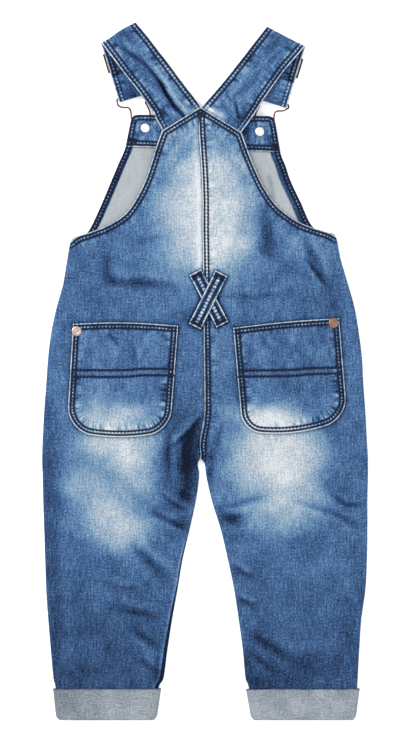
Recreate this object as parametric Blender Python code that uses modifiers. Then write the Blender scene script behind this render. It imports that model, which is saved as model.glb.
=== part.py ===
"""A small child's denim dungarees, laid flat on their front with the back up.

The garment is made from the pieces that a maker cuts: two long back and leg panels, two front legs,
a bib with its facing, two folded straps, patch pockets, crossed tabs and turn-ups, with the wire
buckles, sliders, buttons and rivets. Each is one closed solid. Tables are in millimetres, with x
towards the wearer's right, y towards the shoulders and z up from the surface that the garment lies
on. Left and right are the wearer's.
"""

import math

import bmesh
import bpy
from mathutils import Vector

MM = 0.001

# Cloth
WALL = 1.2  # one thickness of denim with its hem
STRAP_WALL = 2.0  # two plies
TAB_WALL = 1.4
FACING_WALL = 1.1
SEAM_GAP = 0.3  # between pieces that are sewn or lie together
ROLL = 0.2  # a side seam's raw edges roll apart by this much on the outside

# The middle of the outline, which stands at the origin
OUTLINE_MIDDLE = Vector((0.5, -0.3, 0.0))

# How high the upper layer lies
BODY_ROOM = 3.0  # clear height between front and back
BACK_LEVEL = WALL + BODY_ROOM + WALL  # outer face of the back panels
BACK_SEAM_LEVEL = BACK_LEVEL / 2 + SEAM_GAP / 2 + ROLL  # where the side seams run
FRONT_SEAM_LEVEL = BACK_LEVEL / 2 - SEAM_GAP / 2 - ROLL
SIDE_RUN = 3.0  # width of the rounded side
EDGE_ANGLES = (0, 14, 48, 90)  # the rounded side's sections
BACK_COLUMNS = 5  # points across each panel between its rounded sides
FRONT_COLUMNS = 4
BIB_COLUMNS = 10
SHOULDER_RISE = 3.2  # the back climbs over the bib's buttons
SHOULDER_RISE_Y = (140.0, 205.0)
CUFF_RISE = WALL + SEAM_GAP  # the leg lies inside its turn-up
CUFF_RISE_Y = (-309.0, -298.0)

# The bib is lifted off the surface by the buttons and buckles under it.
BIB_LIFT = 4.6
BIB_LIFT_RADII = (16.0, 52.0)
BUTTONS = {"left": (-58.0, 237.5), "right": (54.0, 234.0)}
BUTTON_HEAD_RADIUS = 8.5
BUTTON_HEAD_HEIGHT = 2.4
BUTTON_SHANK_RADIUS = 2.2
BUTTON_BACK_RADIUS = 4.6
BUTTON_BACK_HEIGHT = 1.3

# Wire
WIRE_RADIUS = 0.8
BUCKLE_LEVEL = 3.3

# Where the two back panels meet, from the neck point to the crotch
CENTRE = (  # y, x
    (260.0, -3.6),
    (253.0, -5.4),
    (245.0, -6.2),
    (231.0, -5.5),
    (216.0, -4.4),
    (201.5, -3.5),
    (187.0, -2.7),
    (167.0, -2.1),
    (138.0, -2.2),
    (113.5, -1.8),
    (60.0, -1.0),
    (20.5, -0.6),
    (-18.5, -0.1),
    (-38.0, 0.0),
    (-52.8, -1.3),
    (-62.6, -3.6),
    (-72.5, -5.0),
    (-84.0, -3.9),
)

# The yoke's sections run from the armhole edge to the centre seam.
# Its columns are the edge's x and y, the seam's y, and how wide the edge's slope is.
YOKES = {
    "left": (
        (-41.5, 235.0, 258.0, 14.0),
        (-47.3, 219.0, 235.5, 16.0),
        (-53.1, 200.5, 211.0, 18.0),
        (-59.6, 183.0, 190.5, 20.0),
        (-69.6, 164.5, 170.0, 22.0),
        (-79.5, 152.4, 157.5, 22.0),
        (-95.0, 142.7, 146.5, 20.0),
        (-112.0, 135.9, 138.5, 14.0),
        (-124.5, 132.0, 132.5, 8.0),
        (-131.0, 126.5, 126.5, SIDE_RUN),
    ),
    "right": (
        (36.0, 233.5, 258.0, 14.0),
        (44.8, 209.5, 235.5, 16.0),
        (54.7, 187.0, 211.0, 18.0),
        (60.8, 176.0, 190.5, 20.0),
        (66.4, 167.5, 174.0, 22.0),
        (74.5, 158.6, 162.0, 22.0),
        (90.0, 147.2, 151.0, 20.0),
        (104.0, 141.0, 143.0, 14.0),
        (121.0, 135.6, 136.5, 8.0),
        (128.5, 131.5, 130.5, SIDE_RUN),
    ),
}

# Level sections from the armhole to the hem. Their columns are y, the side seam's x, and below
# the crotch the inseam's x.
LEGS = {
    "left": (
        (108.5, -134.5, None),
        (85.0, -138.5, None),
        (61.5, -145.0, None),
        (38.0, -150.0, None),
        (14.5, -153.0, None),
        (-12.5, -155.0, None),
        (-40.0, -157.0, None),
        (-67.5, -158.5, None),
        (-84.0, -159.0, None),
        (-91.0, -159.0, -6.7),
        (-102.5, -158.5, -5.3),
        (-126.0, -158.0, -8.3),
        (-155.5, -157.0, -14.7),
        (-185.0, -156.0, -21.6),
        (-214.0, -155.0, -26.5),
        (-243.5, -153.0, -31.8),
        (-273.0, -150.5, -36.3),
        (-300.0, -148.0, -40.0),
        (-308.0, -146.0, -44.4),
        (-322.0, -145.0, -46.4),
        (-335.0, -143.5, -48.4),
    ),
    "right": (
        (108.5, 133.5, None),
        (85.0, 140.5, None),
        (61.5, 147.0, None),
        (38.0, 151.0, None),
        (14.5, 154.0, None),
        (-12.5, 155.5, None),
        (-40.0, 157.5, None),
        (-67.5, 159.0, None),
        (-84.0, 160.0, None),
        (-91.0, 160.0, 0.3),
        (-102.5, 160.0, 1.7),
        (-126.0, 159.5, 6.9),
        (-155.5, 159.5, 16.0),
        (-185.0, 159.0, 23.0),
        (-214.0, 157.5, 29.0),
        (-243.5, 153.5, 33.5),
        (-273.0, 151.5, 37.5),
        (-300.0, 150.0, 40.0),
        (-308.0, 149.5, 43.0),
        (-322.0, 148.5, 44.5),
        (-335.0, 146.0, 47.0),
    ),
}

# The bib's sections from its top edge to the waist seam, hidden under the back. Their columns are
# the left edge's x and y, the right edge's, and 1 where the edges are sewn to the back.
BIB = (
    (-66.0, 250.6, 63.6, 249.3, 0.0),
    (-70.2, 248.6, 67.3, 247.3, 0.0),
    (-72.2, 244.0, 69.2, 242.6, 0.0),
    (-77.2, 219.5, 74.2, 214.0, 0.0),
    (-84.3, 203.0, 79.5, 200.5, 0.0),
    (-91.0, 187.0, 84.0, 187.0, 0.0),
    (-101.7, 161.5, 94.5, 164.5, 0.0),
    (-112.7, 138.5, 105.0, 142.5, 0.0),
    (-122.5, 128.0, 120.0, 132.5, 0.0),
    (-131.0, 123.5, 128.5, 127.0, 1.0),
    (-134.5, 108.5, 133.5, 108.5, 1.0),
    (-138.5, 85.0, 140.5, 85.0, 1.0),
    (-142.8, 69.6, 144.8, 69.6, 1.0),
)
WAIST_Y = 69.6
BIB_BETWEEN = 2  # sections worked out between the table's rows
FACING_ROWS = 3  # the facing reaches down to this row of the bib's table, counted from 0

# Straps: corners at the yoke and at the fold, how far the fold's outer and neck edges are pulled
# out, the length from the fold's outer edge to the buckle's bar, where the slider's sides lie from
# the fold, and rows of a distance along the axis with how far each edge stands from the axis there
STRAP_COLUMNS = (
    "seam_outer",
    "seam_inner",
    "fold_outer",
    "fold_inner",
    "pull",
    "drop",
    "slider",
    "edge_rows",
)
STRAP_HALF = 20.4
STRAPS = {
    "left": (
        (-41.7, 235.6),
        (-3.6, 259.0),
        (-100.5, 320.0),
        (-63.0, 338.5),
        (1.1, 4.3),
        59.6,
        (14.0, 31.5),
        (
            (-100.0, 22.0, 21.6),
            (-90.0, 21.0, 21.4),
            (-81.0, 19.0, 21.0),
            (-60.0, 18.8, 20.6),
            (-25.0, 20.0, 19.6),
            (-4.0, 20.4, 18.4),
            (6.0, 20.4, 18.4),
            (18.0, 20.4, 20.4),
        ),
    ),
    "right": (
        (36.2, 234.1),
        (-0.6, 258.9),
        (97.2, 318.2),
        (62.3, 336.2),
        (0.0, 0.0),
        63.2,
        (16.5, 34.5),
        (
            (-100.0, 22.4, 22.6),
            (-86.0, 22.1, 21.8),
            (-75.0, 21.5, 21.2),
            (-63.0, 20.2, 20.8),
            (-42.0, 19.3, 20.6),
            (-30.0, 19.0, 20.6),
            (0.0, 20.4, 20.4),
            (18.0, 20.4, 20.4),
        ),
    ),
}
PULL_REACH = (-60.0, -2.0, 11.0)  # where the pull begins, is whole, and how soon it ends
SHOULDER_LEVEL = BACK_LEVEL - WALL + SHOULDER_RISE  # underside of the straps' upper layer
STRAP_TOP_MID = SHOULDER_LEVEL + STRAP_WALL / 2
STRAP_LOW_MID = STRAP_WALL / 2
STRAP_FOLD_RADIUS = (STRAP_TOP_MID - STRAP_LOW_MID) / 2
STRAP_TAIL = 22.0  # the end that is turned back over the bar
LOOP_RADIUS = BUCKLE_LEVEL - STRAP_LOW_MID
SLIDER_RISE = 2 * WIRE_RADIUS + SEAM_GAP

# Buckle wire beside and below the strap: the bar's corners, along the strap from the bar and
# across it, then the rest from the button, outwards and up
BUCKLE_BAR = ((0.0, 21.0), (0.9, 22.0), (3.2, 22.3))
BUCKLE_KEYHOLE = (
    (26.6, 22.6),
    (24.0, 20.9),
    (20.5, 20.5),
    (17.2, 20.4),
    (15.2, 19.0),
    (14.1, 16.0),
    (13.7, 11.4),
    (12.0, 3.0),
    (8.0, -3.8),
    (1.5, -6.4),
    (-4.0, -3.6),
    (-6.0, 3.5),
    (-5.3, 11.0),
    (-4.0, 17.6),
    (-1.8, 22.3),
    (-0.3, 26.0),
    (-3.5, 28.6),
    (-9.5, 30.5),
    (-15.0, 33.8),
)

# Patch pockets, round-cornered at the bottom: corners, how far the corners are rounded, and how
# far the bottom and the top bow out
POCKET_COLUMNS = ("top_left", "top_right", "bottom_left", "bottom_right", "corner", "sag", "bow")
POCKETS = {
    "left": ((-128.7, 46.1), (-25.7, 44.2), (-133.5, -58.8), (-31.9, -58.8), 23.0, 6.0, 2.3),
    "right": ((28.0, 42.2), (131.6, 51.6), (35.2, -58.8), (138.2, -47.5), 20.0, 7.3, 1.2),
}
RIVETS = {"left": (-125.0, 39.0), "right": (126.0, 47.0)}
RIVET_RADIUS = 5.0
RIVET_HEIGHT = 1.1

# Crossed tabs, end to end
TAB_WIDTH = 13.0
TABS = {
    "tab_under": ((-9.0, 96.5), (17.5, 45.5)),
    "tab_over": ((16.5, 95.5), (-9.5, 43.5)),
}

# Turn-ups
CUFFS = {  # top y, bottom y, both sides' x at the top, both sides' x at the bottom
    "left": (-311.0, -341.5, -148.3, -42.4, -145.5, -46.2),
    "right": (-311.0, -341.5, 40.5, 152.0, 45.0, 148.5),
}
CUFF_CORNER = 3.5  # the turned hem climbs at each side
CUFF_HOOK = 4.5  # how far the cloth runs up inside the turn
CUFF_RUN = SIDE_RUN + CUFF_RISE
CUFF_LEVEL = BACK_LEVEL + 2 * CUFF_RISE

# The largest folds in the back. Their columns are a line's x and y at both ends, half the fold's
# width, and its height, which is below 0 for a trough.
FOLDS = (
    (-97.0, 120.0, -90.0, 88.0, 10.0, -1.0),
    (-84.0, 90.0, -46.0, 85.0, 10.0, 1.0),
    (60.0, 140.0, 88.0, 106.0, 10.0, -1.0),
    (98.0, 132.0, 118.0, 92.0, 10.0, 1.0),
    (-8.0, -52.0, -19.0, -106.0, 8.0, -1.4),
    (-116.0, -88.0, -34.0, -152.0, 13.0, -1.1),
    (16.0, -134.0, 92.0, -122.0, 12.0, 1.1),
    (92.0, -124.0, 150.0, -154.0, 12.0, 1.1),
    (42.0, -256.0, 74.0, -270.0, 11.0, 0.9),
)

DENIM = ("#4a76a8", 0.85, 0.0)
DENIM_WRONG_SIDE = ("#a9b1b7", 0.9, 0.0)
COPPER = ("#b9835f", 0.35, 1.0)
PALE_METAL = ("#c9cacb", 0.4, 1.0)


def smooth(low, high, value):
    """0 below low, 1 above high, and a smooth step between them."""
    share = min(1.0, max(0.0, (value - low) / (high - low)))
    return share * share * (3 - 2 * share)


def through(rows, place):
    """The values at a place from 0 to 1 along a table's rows, on a smooth curve through them."""
    step = place * (len(rows) - 1)
    i = min(int(step), len(rows) - 2)
    t = step - i
    before, start = rows[max(i - 1, 0)], rows[i]
    end, after = rows[i + 1], rows[min(i + 2, len(rows) - 1)]
    values = []
    for a, b, c, d in zip(before, start, end, after):
        bend = 2 * b + (c - a) * t + (2 * a - 5 * b + 4 * c - d) * t * t
        values.append((bend + (3 * b - a - 3 * c + d) * t * t * t) / 2)
    return values


def at_height(rows, height):
    """The values beside a height, in rows whose first column falls from row to row."""
    for upper, lower in zip(rows, rows[1:]):
        if height >= lower[0]:
            break
    t = (upper[0] - height) / (upper[0] - lower[0])
    t = min(1.0, max(0.0, t))
    return [a + (b - a) * t for a, b in zip(upper[1:], lower[1:])]


def centre_x(y):
    return at_height(CENTRE, y)[0]


def folds(x, y):
    """How far the largest folds raise or lower the back here."""
    total = 0.0
    for x0, y0, x1, y1, width, height in FOLDS:
        along = Vector((x1 - x0, y1 - y0))
        place = Vector((x - x0, y - y0)).dot(along) / along.length_squared
        nearest = Vector((x0, y0)) + along * min(1.0, max(0.0, place))
        away = (Vector((x, y)) - nearest).length / width
        total += height * math.exp(-away * away)
    return total


def back_level(x, y):
    """The outer face of the back, away from its edges."""
    rise = SHOULDER_RISE * smooth(*SHOULDER_RISE_Y, y)
    return BACK_LEVEL + rise + cuff_rise(y) + folds(x, y)


def cuff_rise(y):
    return CUFF_RISE * (1 - smooth(*CUFF_RISE_Y, y))


def bib_lift(x, y):
    away = min(math.dist((x, y), button) for button in BUTTONS.values())
    return BIB_LIFT * (1 - smooth(*BIB_LIFT_RADII, away))


def facing_bottom(x):
    """The facing's lower edge, level with one of the bib's sections."""
    left_x, left_y, right_x, right_y, _ = BIB[FACING_ROWS]
    return left_y + (right_y - left_y) * (x - left_x) / (right_x - left_x)


def resting_edge(x, y):
    """The outer face of an armhole edge that lies on the bib and its facing."""
    facing = (SEAM_GAP + FACING_WALL) * smooth(facing_bottom(x) - 12, facing_bottom(x) - 4, y)
    return bib_lift(x, y) + WALL + facing + SEAM_GAP + WALL + 0.4


def across(width, runs, columns):
    """Distances over a panel, closer together over the rounded part at each edge.

    Each comes with how far the panel has risen from its first edge and from its last.
    """
    angles = [math.radians(a) for a in EDGE_ANGLES]
    first = [(runs[0] * (1 - math.cos(a)), math.sin(a), 1.0) for a in angles]
    last = [(width - runs[1] * (1 - math.cos(a)), 1.0, math.sin(a)) for a in reversed(angles)]
    start, end = first[-1][0], last[0][0]
    inside = [
        (start + (end - start) * k / (columns + 1), 1.0, 1.0) for k in range(1, columns + 1)
    ]
    return first + inside + last


def section(start, end, levels, edges, runs, columns):
    """The points of one section of a panel, from its side to its centre."""
    start, end = Vector(start), Vector(end)
    width = (end - start).length
    points = []
    for away, from_start, from_end in across(width, runs, columns):
        place = start + (end - start) * (away / width)
        level = levels(place.x, place.y)
        z = level + (edges[0] - level) * (1 - from_start)
        z += (edges[1] - z) * (1 - from_end)
        points.append(Vector((place.x, place.y, z)))
    return points


def draped(name, grid, wall, material, offset=-1.0, flip=False, ring=False):
    """A flat grid laid onto rows of points, then thickened away from its outer face."""
    rows, columns = len(grid), len(grid[0])
    cloth = bmesh.new()
    bmesh.ops.create_grid(cloth, x_segments=columns - 1, y_segments=rows - 1, size=0.5)
    for vertex in cloth.verts:
        column = round((vertex.co.x + 0.5) * (columns - 1))
        row = round((vertex.co.y + 0.5) * (rows - 1))
        vertex.co = (grid[row][column] - OUTLINE_MIDDLE) * MM
    if ring:
        bmesh.ops.remove_doubles(cloth, verts=cloth.verts, dist=1e-7)
    if flip:
        bmesh.ops.reverse_faces(cloth, faces=cloth.faces)
    piece = finish_mesh(name, cloth, material)
    solidify = piece.modifiers.new("thickness", "SOLIDIFY")
    solidify.thickness = wall * MM
    solidify.offset = offset
    return piece


def finish_mesh(name, shape, material):
    mesh = bpy.data.meshes.new(name)
    shape.to_mesh(mesh)
    shape.free()
    piece = bpy.data.objects.new(name, mesh)
    return dress(piece, material)


def dress(piece, material):
    """Puts a piece in the garment's collection, with a material of its own."""
    colour, roughness, metallic = material
    made = bpy.data.materials.new(piece.name)
    made.use_nodes = True
    shader = made.node_tree.nodes["Principled BSDF"]
    shader.inputs["Base Color"].default_value = (*linear(colour), 1.0)
    shader.inputs["Roughness"].default_value = roughness
    shader.inputs["Metallic"].default_value = metallic
    piece.data.materials.append(made)
    if piece.type == "MESH":
        piece.data.shade_smooth()
    GARMENT.objects.link(piece)
    return piece


def linear(colour):
    """A hex sRGB colour as linear values."""
    shares = (int(colour[i : i + 2], 16) / 255 for i in (1, 3, 5))
    return [s / 12.92 if s <= 0.04045 else ((s + 0.055) / 1.055) ** 2.4 for s in shares]


def stations(rows, between):
    """Every row of a table, with some smooth ones between."""
    count = (len(rows) - 1) * (between + 1)
    return [through(rows, k / count) for k in range(count + 1)]


def centre_edge(side, y):
    """Where a panel ends at the centre seam."""
    return centre_x(y) + (-SEAM_GAP / 2 if side == "left" else SEAM_GAP / 2)


def leg_rows(side, top):
    """Level sections below a height: y, the side, the inner edge, and 1 where there is an inseam."""
    rows = []
    for y, side_x, inseam_x in LEGS[side]:
        if y > top:
            continue
        if inseam_x is None:
            rows.append((y, side_x, centre_edge(side, y), 0.0))
        else:
            rows.append((y, side_x, inseam_x, 1.0))
    return rows


def back_panel(side):
    """One piece from the shoulder to the hem."""
    grid = []
    for edge_x, edge_y, centre_y, run in stations(YOKES[side], 1):
        seam_x = centre_edge(side, centre_y)
        joined = smooth(YOKES[side][-1][1] + 1, YOKES[side][-1][1], edge_y)
        edge_z = resting_edge(edge_x, edge_y)
        edge_z += (BACK_SEAM_LEVEL - edge_z) * joined
        edges = (min(edge_z, back_level(edge_x, edge_y)), back_level(seam_x, centre_y))
        ends = (edge_x, edge_y), (seam_x, centre_y)
        grid.append(section(*ends, back_level, edges, (run, SIDE_RUN), BACK_COLUMNS))
    for y, side_x, edge_x, closed in leg_rows(side, LEGS[side][0][0]):
        seam_z = BACK_SEAM_LEVEL + cuff_rise(y)
        inner_z = back_level(edge_x, y) * (1 - closed) + seam_z * closed
        ends = (side_x, y), (edge_x, y)
        edges = (seam_z, inner_z)
        grid.append(section(*ends, back_level, edges, (SIDE_RUN, SIDE_RUN), BACK_COLUMNS))
    draped(f"back_{side}", grid, WALL, DENIM, flip=side == "left")


def front_level(x, y):
    return cuff_rise(y)


def front_leg(side):
    """The front of the leg, from the waist seam to the hem, flat on the surface."""
    waist_x = BIB[-1][0] if side == "left" else BIB[-1][2]
    waist_y = WAIST_Y - SEAM_GAP
    rows = [(waist_y, waist_x, centre_edge(side, waist_y), 0.0), *leg_rows(side, waist_y)]
    grid = []
    for y, side_x, edge_x, closed in rows:
        seam_z = FRONT_SEAM_LEVEL + cuff_rise(y)
        ends = (side_x, y), (edge_x, y)
        edges = (seam_z, front_level(edge_x, y) * (1 - closed) + seam_z * closed)
        grid.append(section(*ends, front_level, edges, (SIDE_RUN, SIDE_RUN), FRONT_COLUMNS))
    draped(f"front_leg_{side}", grid, WALL, DENIM, flip=side == "right")


def bib_grid():
    """The front above the waist seam. Only its edges below the armholes are sewn to the back."""
    grid = []
    for left_x, left_y, right_x, right_y, seam in stations(BIB, BIB_BETWEEN):
        edge_z = FRONT_SEAM_LEVEL * min(1.0, max(0.0, seam))
        edges = (max(edge_z, bib_lift(left_x, left_y)), max(edge_z, bib_lift(right_x, right_y)))
        ends = (left_x, left_y), (right_x, right_y)
        grid.append(section(*ends, bib_lift, edges, (SIDE_RUN, SIDE_RUN), BIB_COLUMNS))
    return grid


def bib_and_facing():
    """The bib, and the strip sewn inside its top edge, made from the bib's points moved out."""
    grid = bib_grid()
    draped("bib", grid, WALL, DENIM_WRONG_SIDE)
    out = Vector((0, 0, WALL + SEAM_GAP))
    last = FACING_ROWS * (BIB_BETWEEN + 1)
    top = [[point + out for point in row] for row in grid[: last + 1]]
    draped("bib_facing", top, FACING_WALL, DENIM)


class StrapPath:
    """Where a strap's cloth lies: flat from the yoke, over the shoulder fold, and round the bar.

    The strap is cut as one straight strip. A place on it is its distance along the axis, 0 at the
    fold's middle, and its distance from the axis towards the neck.
    """

    def __init__(self, side):
        spec = dict(zip(STRAP_COLUMNS, STRAPS[side]))
        outer, inner = Vector(spec["fold_outer"]), Vector(spec["fold_inner"])
        seam_outer, seam_inner = Vector(spec["seam_outer"]), Vector(spec["seam_inner"])
        self.fold = (inner - outer).normalized()
        self.middle = (outer + inner) / 2
        self.axis = (self.middle - (seam_outer + seam_inner) / 2).normalized()
        self.across = Vector((self.axis.y, -self.axis.x))
        if self.across.dot(self.fold) < 0:
            self.across = -self.across
        self.ahead = self.axis - self.fold * self.axis.dot(self.fold)
        self.ahead.normalize()
        self.inset = STRAP_FOLD_RADIUS + STRAP_WALL / 2
        self.edge_rows = spec["edge_rows"]
        self.pull = spec["pull"]
        corners = (seam_outer, seam_inner)
        self.starts = [(corner - self.middle).dot(self.axis) for corner in corners]
        self.arc = math.pi * STRAP_FOLD_RADIUS
        self.slider = [self.arc - 2 * self.inset + distance for distance in spec["slider"]]
        self.bar = self.arc - 2 * self.inset + spec["drop"]

    def along_at(self, ahead, aside):
        """How far along the strip a line beside the fold is, at a distance from the axis."""
        skew = aside * self.across.dot(self.ahead)
        return (ahead - self.inset - skew) / self.axis.dot(self.ahead)

    def edges(self, along):
        """The edges' distances from the axis, away from the neck and towards it."""
        for before, after in zip(self.edge_rows, self.edge_rows[1:]):
            if along <= after[0]:
                break
        t = smooth(before[0], after[0], along)
        outer, inner = (before[k] + (after[k] - before[k]) * t for k in (1, 2))
        return -outer, inner

    def point(self, along, aside):
        """The middle of the cloth's thickness at a place on the strip."""
        turned = along - self.bar
        inward = self.slider_rise(along)
        if turned > 0:
            angle = min(turned / LOOP_RADIUS, math.pi)
            beyond = turned - math.pi * LOOP_RADIUS
            along = self.bar + LOOP_RADIUS * math.sin(angle) - max(0.0, beyond)
            inward = LOOP_RADIUS * (1 - math.cos(angle))
        flat = self.axis * along + self.across * aside
        line = flat.dot(self.fold)
        ahead = flat.dot(self.ahead) + self.inset
        angle = min(max(ahead / STRAP_FOLD_RADIUS, 0.0), math.pi)
        radius = STRAP_FOLD_RADIUS - inward
        reach = min(ahead, 0.0) if ahead < 0 else radius * math.sin(angle)
        reach -= max(0.0, ahead - math.pi * STRAP_FOLD_RADIUS)
        place = self.middle + self.fold * line + self.ahead * (reach - self.inset)
        place += self.axis * self.pulled(ahead, aside)
        z = (STRAP_TOP_MID + STRAP_LOW_MID) / 2 + radius * math.cos(angle)
        return Vector((place.x, place.y, z))

    def pulled(self, ahead, aside):
        """How far the cloth near the fold is pulled out along the axis, both layers alike."""
        begins, whole, ends = PULL_REACH
        outer, neck = self.pull
        share = smooth(0.0, 0.7, (aside + STRAP_HALF) / (2 * STRAP_HALF))
        near = smooth(begins, whole, ahead) * (1 - smooth(self.arc, self.arc + ends, ahead))
        return (outer + (neck - outer) * share) * near

    def slider_rise(self, along):
        up = smooth(self.slider[0] - 7.5, self.slider[0] - 1.2, along)
        down = smooth(self.slider[1] + 1.2, self.slider[1] + 9.0, along)
        return SLIDER_RISE * up * (1 - down)


def strap(side):
    """The strip's stretches in turn: upper layer, shoulder fold, lower layer, loop and tail."""
    path = StrapPath(side)
    columns = 6
    loop_end = path.bar + math.pi * LOOP_RADIUS
    rows = []
    for place in (k / columns for k in range(columns + 1)):
        aside = STRAP_HALF * (2 * place - 1)
        start = path.starts[0] + (path.starts[1] - path.starts[0]) * place
        stops = [start, path.along_at(0, aside), path.along_at(path.arc, aside)]
        stops += [path.bar, loop_end, loop_end + STRAP_TAIL]
        column = [start]
        for first, last, steps in zip(stops, stops[1:], (9, 7, 10, 6, 3)):
            column += [first + (last - first) * (k + 1) / steps for k in range(steps)]
        rows.append(column)
    grid = []
    for alongs in zip(*rows):
        row = []
        for column, along in enumerate(alongs):
            outer, inner = path.edges(along)
            row.append(path.point(along, outer + (inner - outer) * column / columns))
        grid.append(row)
    draped(f"strap_{side}", grid, STRAP_WALL, DENIM, offset=0.0)


def pocket_point(side, u, v):
    """A place on a pocket: u from left to right, v from its top to its bottom."""
    spec = dict(zip(POCKET_COLUMNS, POCKETS[side]))
    top_left, top_right = Vector(spec["top_left"]), Vector(spec["top_right"])
    bottom_left, bottom_right = Vector(spec["bottom_left"]), Vector(spec["bottom_right"])
    width = (bottom_right - bottom_left).length
    from_side = min(u, 1 - u) * width
    short = spec["corner"] - from_side
    cut = 0.0
    if short > 0:
        cut = spec["corner"] - math.sqrt(max(0.0, spec["corner"] ** 2 - short**2))
    top = top_left.lerp(top_right, u) + Vector((0, spec["bow"] * math.sin(math.pi * u)))
    bottom = bottom_left.lerp(bottom_right, u)
    bottom += Vector((0, cut - spec["sag"] * math.sin(math.pi * u)))
    place = top.lerp(bottom, v)
    return Vector((place.x, place.y, back_level(place.x, place.y) + SEAM_GAP + WALL))


def pocket(side):
    rows = 9
    sides = (0.0, 0.02, 0.06, 0.12, 0.2)
    middle = [0.2 + 0.6 * k / 6 for k in range(1, 6)]
    places = [*sides, *middle, *(1 - s for s in reversed(sides))]
    grid = []
    for row in range(rows + 1):
        grid.append([pocket_point(side, u, 1 - row / rows) for u in places])
    draped(f"pocket_{side}", grid, WALL, DENIM)


def tab(name):
    """A short two-ply tab over the centre seam. The upper one rises over the other."""
    start, end = (Vector(place) for place in TABS[name])
    along = (end - start).normalized()
    aside = Vector((-along.y, along.x)) * TAB_WIDTH / 2
    steps = 12
    grid = []
    for k in range(steps + 1):
        share = k / steps
        middle = start.lerp(end, share)
        away = abs(share - 0.5) * (end - start).length
        over = (TAB_WALL + SEAM_GAP) * (1 - smooth(13.5, 24.0, away)) if name == "tab_over" else 0
        row = []
        for place in (-1, -0.5, 0, 0.5, 1):
            spot = middle + aside * place
            z = back_level(spot.x, spot.y) + SEAM_GAP + TAB_WALL + over
            row.append(Vector((spot.x, spot.y, z)))
        grid.append(row)
    draped(name, grid, TAB_WALL, DENIM, flip=True)


def turn_up(side):
    """The leg's end folded out and up: a flattened ring with its wrong side out.

    Its profile runs down the outside, round the fold, and a little way up inside to the leg.
    """
    top_y, bottom_y, top_x0, top_x1, bottom_x0, bottom_x1 = CUFFS[side]
    turn = (WALL + SEAM_GAP) / 2
    angles = [math.radians(a) for a in (0, 30, 60)]
    flat = 7
    ring = []  # share across, then the side's turn as cosine and sine
    for k in range(flat):
        ring.append((k / flat, 0.0, -1.0))
    ring += [(1.0, math.sin(a), -math.cos(a)) for a in angles]
    ring += [(1.0, math.cos(a), math.sin(a)) for a in angles]
    ring += [(1 - k / flat, 0.0, 1.0) for k in range(flat)]
    ring += [(0.0, -math.sin(a), math.cos(a)) for a in angles]
    ring += [(0.0, -math.cos(a), -math.sin(a)) for a in angles]
    ring.append(ring[0])
    profile = [(share, 0.0, 0.0) for share in (0.0, 0.25, 0.5, 0.75, 1.0)]
    bends = [math.radians(a) for a in (45, 90, 135, 180)]
    profile += [(1.0, turn * (1 - math.cos(a)), -turn * math.sin(a)) for a in bends]
    profile.append((1.0, 2 * turn, CUFF_HOOK))
    grid = []
    for share, depth, beyond in reversed(profile):
        row = []
        for place, cosine, sine in ring:
            x0 = top_x0 + (bottom_x0 - top_x0) * share + CUFF_RUN
            x1 = top_x1 + (bottom_x1 - top_x1) * share - CUFF_RUN
            climb = CUFF_CORNER * cosine**2 * (1 if beyond < CUFF_HOOK else 0)
            y = top_y + (bottom_y + turn + WALL / 2 + climb - top_y) * share + beyond
            x = x0 + (x1 - x0) * place + (CUFF_RUN - WALL / 2 - depth) * cosine
            z = CUFF_LEVEL / 2 + (CUFF_LEVEL / 2 - WALL / 2 - depth) * sine
            row.append(Vector((x, y, z)))
        grid.append(row)
    draped(f"turn_up_{side}", grid, WALL, DENIM_WRONG_SIDE, offset=0.0, ring=True)


def wire(name, points, closed):
    """Round wire bent along a list of points."""
    curve = bpy.data.curves.new(name, "CURVE")
    curve.dimensions = "3D"
    curve.bevel_depth = WIRE_RADIUS * MM
    curve.bevel_resolution = 2
    curve.use_fill_caps = not closed
    spline = curve.splines.new("POLY")
    spline.points.add(len(points) - 1)
    for knot, point in zip(spline.points, points):
        knot.co = (*((point - OUTLINE_MIDDLE) * MM), 1.0)
    spline.use_cyclic_u = closed
    return dress(bpy.data.objects.new(name, curve), COPPER)


def strap_place(path, along, aside):
    """A place in the plane of the lower strap, measured down from the buckle's bar."""
    bar = path.point(path.bar, aside)
    above = path.point(path.bar - 1.0, aside)
    step = (bar - above).normalized()
    return Vector((bar.x + step.x * along, bar.y + step.y * along))


def slider(side):
    """A wire frame under the strap, and the bar across its middle that the strap hangs on."""
    path = StrapPath(side)
    half = STRAP_HALF + SEAM_GAP + WIRE_RADIUS + 0.2
    low, high = (place - path.bar for place in path.slider)
    corners = ((low, -half), (low, half), (high, half), (high, -half))
    frame = rounded([strap_place(path, *corner) for corner in corners], 2.5)
    wire(f"slider_{side}", [Vector((p.x, p.y, WIRE_RADIUS)) for p in frame], True)
    middle = (low + high) / 2
    reach = half - WIRE_RADIUS - SEAM_GAP
    ends = (strap_place(path, middle, aside) for aside in (-reach, 0.0, reach))
    wire(f"slider_bar_{side}", [Vector((p.x, p.y, WIRE_RADIUS)) for p in ends], False)


def rounded(corners, radius):
    """A closed outline with each corner cut back into a short curve."""
    points = []
    for i, corner in enumerate(corners):
        before, after = corners[i - 1], corners[(i + 1) % len(corners)]
        start = corner + (before - corner).normalized() * radius
        end = corner + (after - corner).normalized() * radius
        for k in range(3):
            t = k / 2
            bend = start.lerp(corner, t).lerp(corner.lerp(end, t), t)
            points.append(bend)
    return points


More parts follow.
